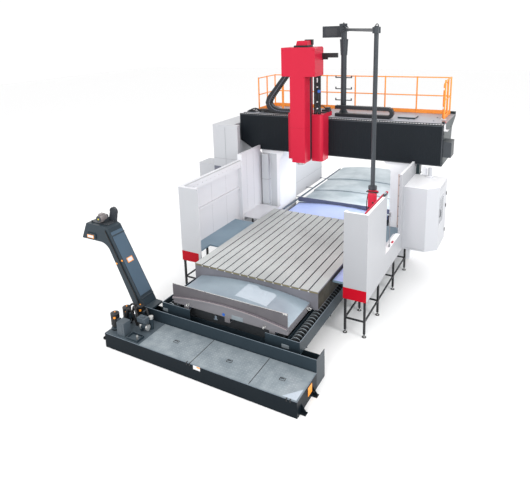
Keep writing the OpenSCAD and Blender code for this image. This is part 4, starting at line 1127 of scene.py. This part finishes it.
# Control station: body, screen, keys, cap, stop button; panel of the sliding door
def makeStationTrim():
    piece = addTrim("stationBody", "redPaint", "control_station", bevel=0.002, boxes=[
        *[((1.87, y, 1.62), (1.99, y + 0.20, 2.15)) for y in (-3.35, -3.15)],
        ((1.835, -3.18, 2.15), (2.025, -3.12, 2.60))
    ], prisms=[
        ([(1.87, 1.52), (1.97, 1.52), (1.99, 1.62), (1.87, 1.62)], "y", -3.35, -2.95),
        ([(-3.18, 2.60), (-3.12, 2.60), (-3.12, 2.706), (-3.15, 2.706)], "x", 1.838, 2.022)
    ], rods=[((1.93, -3.15, 2.70), (1.93, -3.15, 2.728), 0.085, 28)])
    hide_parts("control_station")
    low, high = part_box("sliding_door")
    piece = addTrim("doorPanel", "redPaint", "sliding_door", bevel=0.002, boxes=[
        (low, (high[0], high[1], high[2] - 0.028))])
    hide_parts("sliding_door")
    cfg = {
        "stationScreen": dict(finish="darkGlass", body="control_station", bevel=0.002, boxes=[
            ((1.989, -3.31, 1.84), (1.996, -3.06, 2.08))]),
        "stationKeys": dict(finish="palePlate", body="control_station", bevel=0.002, boxes=[
            *[((1.989, y, z), (1.997, y + 0.034, z + 0.032)) for y in steps(-3.30, 0.052, 5)
             for z in steps(1.66, 0.05, 3)],
            ((1.989, -3.03, 1.70), (1.994, -2.97, 2.06))]),
        "stationCap": dict(finish="blackPaint", body="control_station", rods=[
            ((1.93, -3.15, 2.722), (1.93, -3.15, 2.738), 0.094, 24),
            ((1.95, -3.176, 2.42), (1.95, -3.188, 2.42), 0.020, 16)
        ], boxes=[
            ((1.84, -3.183, 2.18), (1.90, -3.178, 2.30)),
            ((1.80, -3.20, 2.655), (2.06, -3.10, 2.672))
        ], hoses=[
            ([(1.83, -3.15, 2.60), (1.80, -3.15, 2.40), (1.81, -3.15, 2.20), (1.86, -3.15, 2.10)],
             0.010)]),
        "stationStop": dict(finish="redPaint", body="control_station", bevel=0.001, rods=[
            ((1.99, -3.0, 1.62), (2.015, -3.0, 1.62), 0.022, 16)
        ], boxes=[((2.03, -3.17, 2.674), (2.055, -3.13, 2.70))]),
    }
    addTrims(cfg)


makeStationTrim()
print("station trim made")


# Beam top: hoses and clips on the left, silver corner bracket, gate in the right rail
def makeBeamTop():
    cfg = {
        "beamHoses": dict(finish="cableRubber", smooth=True, hoses=[
            ([(-2.85, -0.33, 3.79), (-2.70, -0.34, 3.86), (-2.52, -0.33, 3.80),
              (-2.35, -0.34, 3.90), (-2.12, -0.32, 3.80)], 0.016),
            ([(-2.90, -0.26, 3.79), (-2.60, -0.27, 3.93), (-2.38, -0.26, 3.80),
              (-2.05, -0.27, 3.79), (-1.40, -0.27, 3.79)], 0.018),
            ([(-2.76, 0.02, 3.79), (-2.72, -0.10, 3.90), (-2.58, -0.20, 3.84),
              (-2.40, -0.22, 3.79), (-1.60, -0.22, 3.79)], 0.014)
        ], boxes=[
            ((x - 0.02, -0.30, 3.774), (x + 0.02, -0.19, 3.815)) for x in (-2.0, -1.7, -1.45)]),
        "beamClips": dict(finish="darkPaint", bevel=0.004, boxes=[
            ((-2.82, -0.31, 3.774), (-2.66, -0.20, 3.85)),
            ((-2.40, -0.36, 3.774), (-2.28, -0.28, 3.83)),
            ((2.86, -0.40, 3.774), (2.93, -0.30, 3.83))]),
        "cornerBracket": dict(finish="palePlate", bevel=0.001, boxes=[
            ((2.951, -0.610, 3.63), (2.957, -0.36, 3.78)),
            ((2.951, -0.610, 3.628), (3.045, -0.36, 3.634))
        ], prisms=[([(2.951, 3.63), (3.045, 3.63), (2.951, 3.75)], "y", -0.612, -0.606)]),
        "beamMark": dict(finish="redPaint", bevel=0.002, boxes=[
            ((2.86, -0.27, 3.774), (2.935, -0.20, 3.80))
        ], rods=[((2.90, -0.235, 3.80), (2.90, -0.235, 3.82), 0.02, 12)]),
        "railGate": dict(finish="orangePaint", smooth=True, hoses=[
            ([(2.76, 0.30, 3.80), (2.76, 0.30, 4.68), (2.76, 0.36, 4.72), (2.76, 0.80, 4.72),
              (2.76, 0.86, 4.66), (2.76, 0.86, 3.95), (2.76, 0.80, 3.90), (2.76, 0.32, 3.90)],
             0.017, 10, 2)
        ], rods=[((2.76, 0.31, 4.35), (2.76, 0.85, 4.35), 0.013, 10)]),
        "gateHinges": dict(finish="palePlate", bevel=0.002, boxes=[
            *[((2.755, 0.24, z), (2.81, 0.31, z + 0.06)) for z in (4.05, 4.55)],
            ((2.72, 0.22, 3.774), (2.86, 0.34, 3.786))]),
        "beamBolts": dict(finish="darkPaint", bolts=[
            *[((x, y, 3.774), "z", 0.016, 0.012) for x in steps(-2.6, 0.65, 9)
             for y in (-0.05, 0.47)],
            *[((2.949, y, z), "x", 0.016, 0.012) for y in (-0.58, 0.48)
             for z in (2.80, 3.10, 3.55)]
        ], boxes=[
            ((2.949, -0.52, 2.76), (2.954, -0.49, 3.74)),
            ((3.149, -0.58, 2.99), (3.153, -0.19, 3.32))]),
    }
    addTrims(cfg)


makeBeamTop()
print("beam top made")


# Head and saddle: cable carrier, cable run, bare disc, panel seams, small gear on the saddle
def makeHeadTrim():
    cfg = {
        "rodClamps": dict(finish="darkPaint", body="ram", bevel=0.001, boxes=[
            *[((-0.27, -1.128, z), (-0.125, -1.112, z + 0.035)) for z in (4.16, 4.48, 4.80)],
            ((-0.242, -1.124, 4.02), (-0.178, -1.114, 5.0)),
            ((-0.4005, -1.20, 2.70), (-0.397, -1.11, 4.99))]),
        "rodHoses": dict(finish="cableRubber", body="ram", smooth=True, hoses=[
            ([(-0.21, -1.135, 5.01), (-0.202, -1.15, 4.80), (-0.218, -1.145, 4.55),
              (-0.202, -1.15, 4.30), (-0.21, -1.13, 4.05)], 0.012),
            ([(-0.15, -1.13, 5.01), (-0.145, -1.14, 4.75), (-0.15, -1.135, 4.48),
              (-0.16, -1.125, 4.18)], 0.010)]),
        "rodLabels": dict(finish="palePlate", body="ram", bevel=0.001, boxes=[
            ((-0.217, -1.168, 4.84), (-0.191, -1.150, 4.96)),
            *[((-0.224, -1.165, z), (-0.194, -1.120, z + 0.03)) for z in (4.12, 4.30, 4.70)]]),
        "rodDisc": dict(finish="bluePlate", body="ram", bevel=0.001, rods=[
            ((-0.165, -1.112, 4.60), (-0.165, -1.150, 4.60), 0.042, 24)]),
        "saddleGear": dict(finish="darkPaint", body="saddle", bevel=0.001, boxes=[
            ((-0.30, -0.60, 3.96), (-0.09, -0.42, 4.02)),
            ((-0.20, -0.56, 4.02), (-0.10, -0.44, 4.08)),
            ((-0.44, -0.80, 3.96), (-0.12, -0.70, 3.985))
        ], hoses=[
            ([(-0.42, -0.50, 3.97), (-0.40, -0.52, 4.10), (-0.28, -0.52, 4.12),
              (-0.22, -0.50, 4.02)], 0.016)]),
        "ramSeams": dict(finish="redSeam", body="ram", boxes=[
            ((-0.8315, -1.5515, 3.64), (-0.3985, -1.549, 3.646)),
            ((-0.401, -1.55, 3.64), (-0.3985, -1.12, 3.646)),
            ((-1.0715, -1.40, 5.055), (-1.0690, -1.10, 5.061))]),
        "ramScrews": dict(finish="crimsonPaint", body="ram", rods=[
            *[((x, -1.549, z), (x, -1.556, z), 0.010, 12) for z in (2.76, 4.99)
             for x in (-0.80, -0.43)],
            *[((x, -1.549, z), (x, -1.556, z), 0.010, 12) for x in (-1.03, -0.15)
             for z in (5.07, 5.70)],
            *[((-0.112, y, z), (-0.104, y, z), 0.010, 12) for y in (-1.48, -1.02)
             for z in (5.10, 5.66)]]),
        "saddleSeal": dict(finish="crimsonPaint", body="saddle", boxes=[
            ((-0.393, -1.095, 2.66), (-0.386, -0.70, 3.955))
        ], rods=[
            ((-0.20, -1.099, z), (-0.20, -1.106, z), 0.010, 12) for z in (2.75, 3.10, 3.50, 3.85)]),
    }
    addTrims(cfg)


makeHeadTrim()
print("head trim made")


# Swing arm: bolts and hoses round the pole head, knuckle rings, lamp box seams
def makeArmTrim():
    cfg = {
        "armGear": dict(finish="darkPaint", body="pendant_arm", bevel=0.001, rods=[
            *[((0.053 + c, 0.18 + s, 6.24), (0.053 + c, 0.18 + s, 6.262), 0.012, 6)
             for c, s in circle(8, 0.10)],
            ((1.93, -3.15, 4.30), (1.93, -3.15, 4.34), 0.056, 20),
            ((1.93, -3.15, 6.235), (1.93, -3.15, 6.262), 0.05, 20)
        ], boxes=[
            ((-0.06, 0.10, 6.22), (0.16, 0.14, 6.34)), ((-0.05, 0.22, 6.20), (0.02, 0.30, 6.30))
        ], hoses=[
            ([(-0.10, 0.40, 6.20), (-0.02, 0.30, 6.36), (0.06, 0.16, 6.36), (0.14, 0.02, 6.22)],
             0.014),
            ([(1.87, -3.04, 6.215), (1.90, -3.10, 6.30), (1.96, -3.14, 6.30),
              (1.99, -3.18, 6.20)], 0.010)]),
        "armPanel": dict(finish="castPaint", body="pendant_arm", bevel=0.001, boxes=[
            ((-0.642, 0.297, 5.975), (-0.079, 0.301, 5.985)),
            ((-0.55, 0.2965, 6.02), (-0.20, 0.301, 6.22))]),
        "poleRings": dict(finish="darkPaint", rods=[
            ((0.053, 0.18, z), (0.053, 0.18, z + 0.02), r, 28)
             for z, r in ((5.60, 0.104), (5.88, 0.118))
        ], bolts=[((0.053 + c, 0.18 + s, 3.798), "z", 0.014, 0.02) for c, s in circle(8, 0.155)]),
    }
    addTrims(cfg)


makeArmTrim()
print("arm trim made")
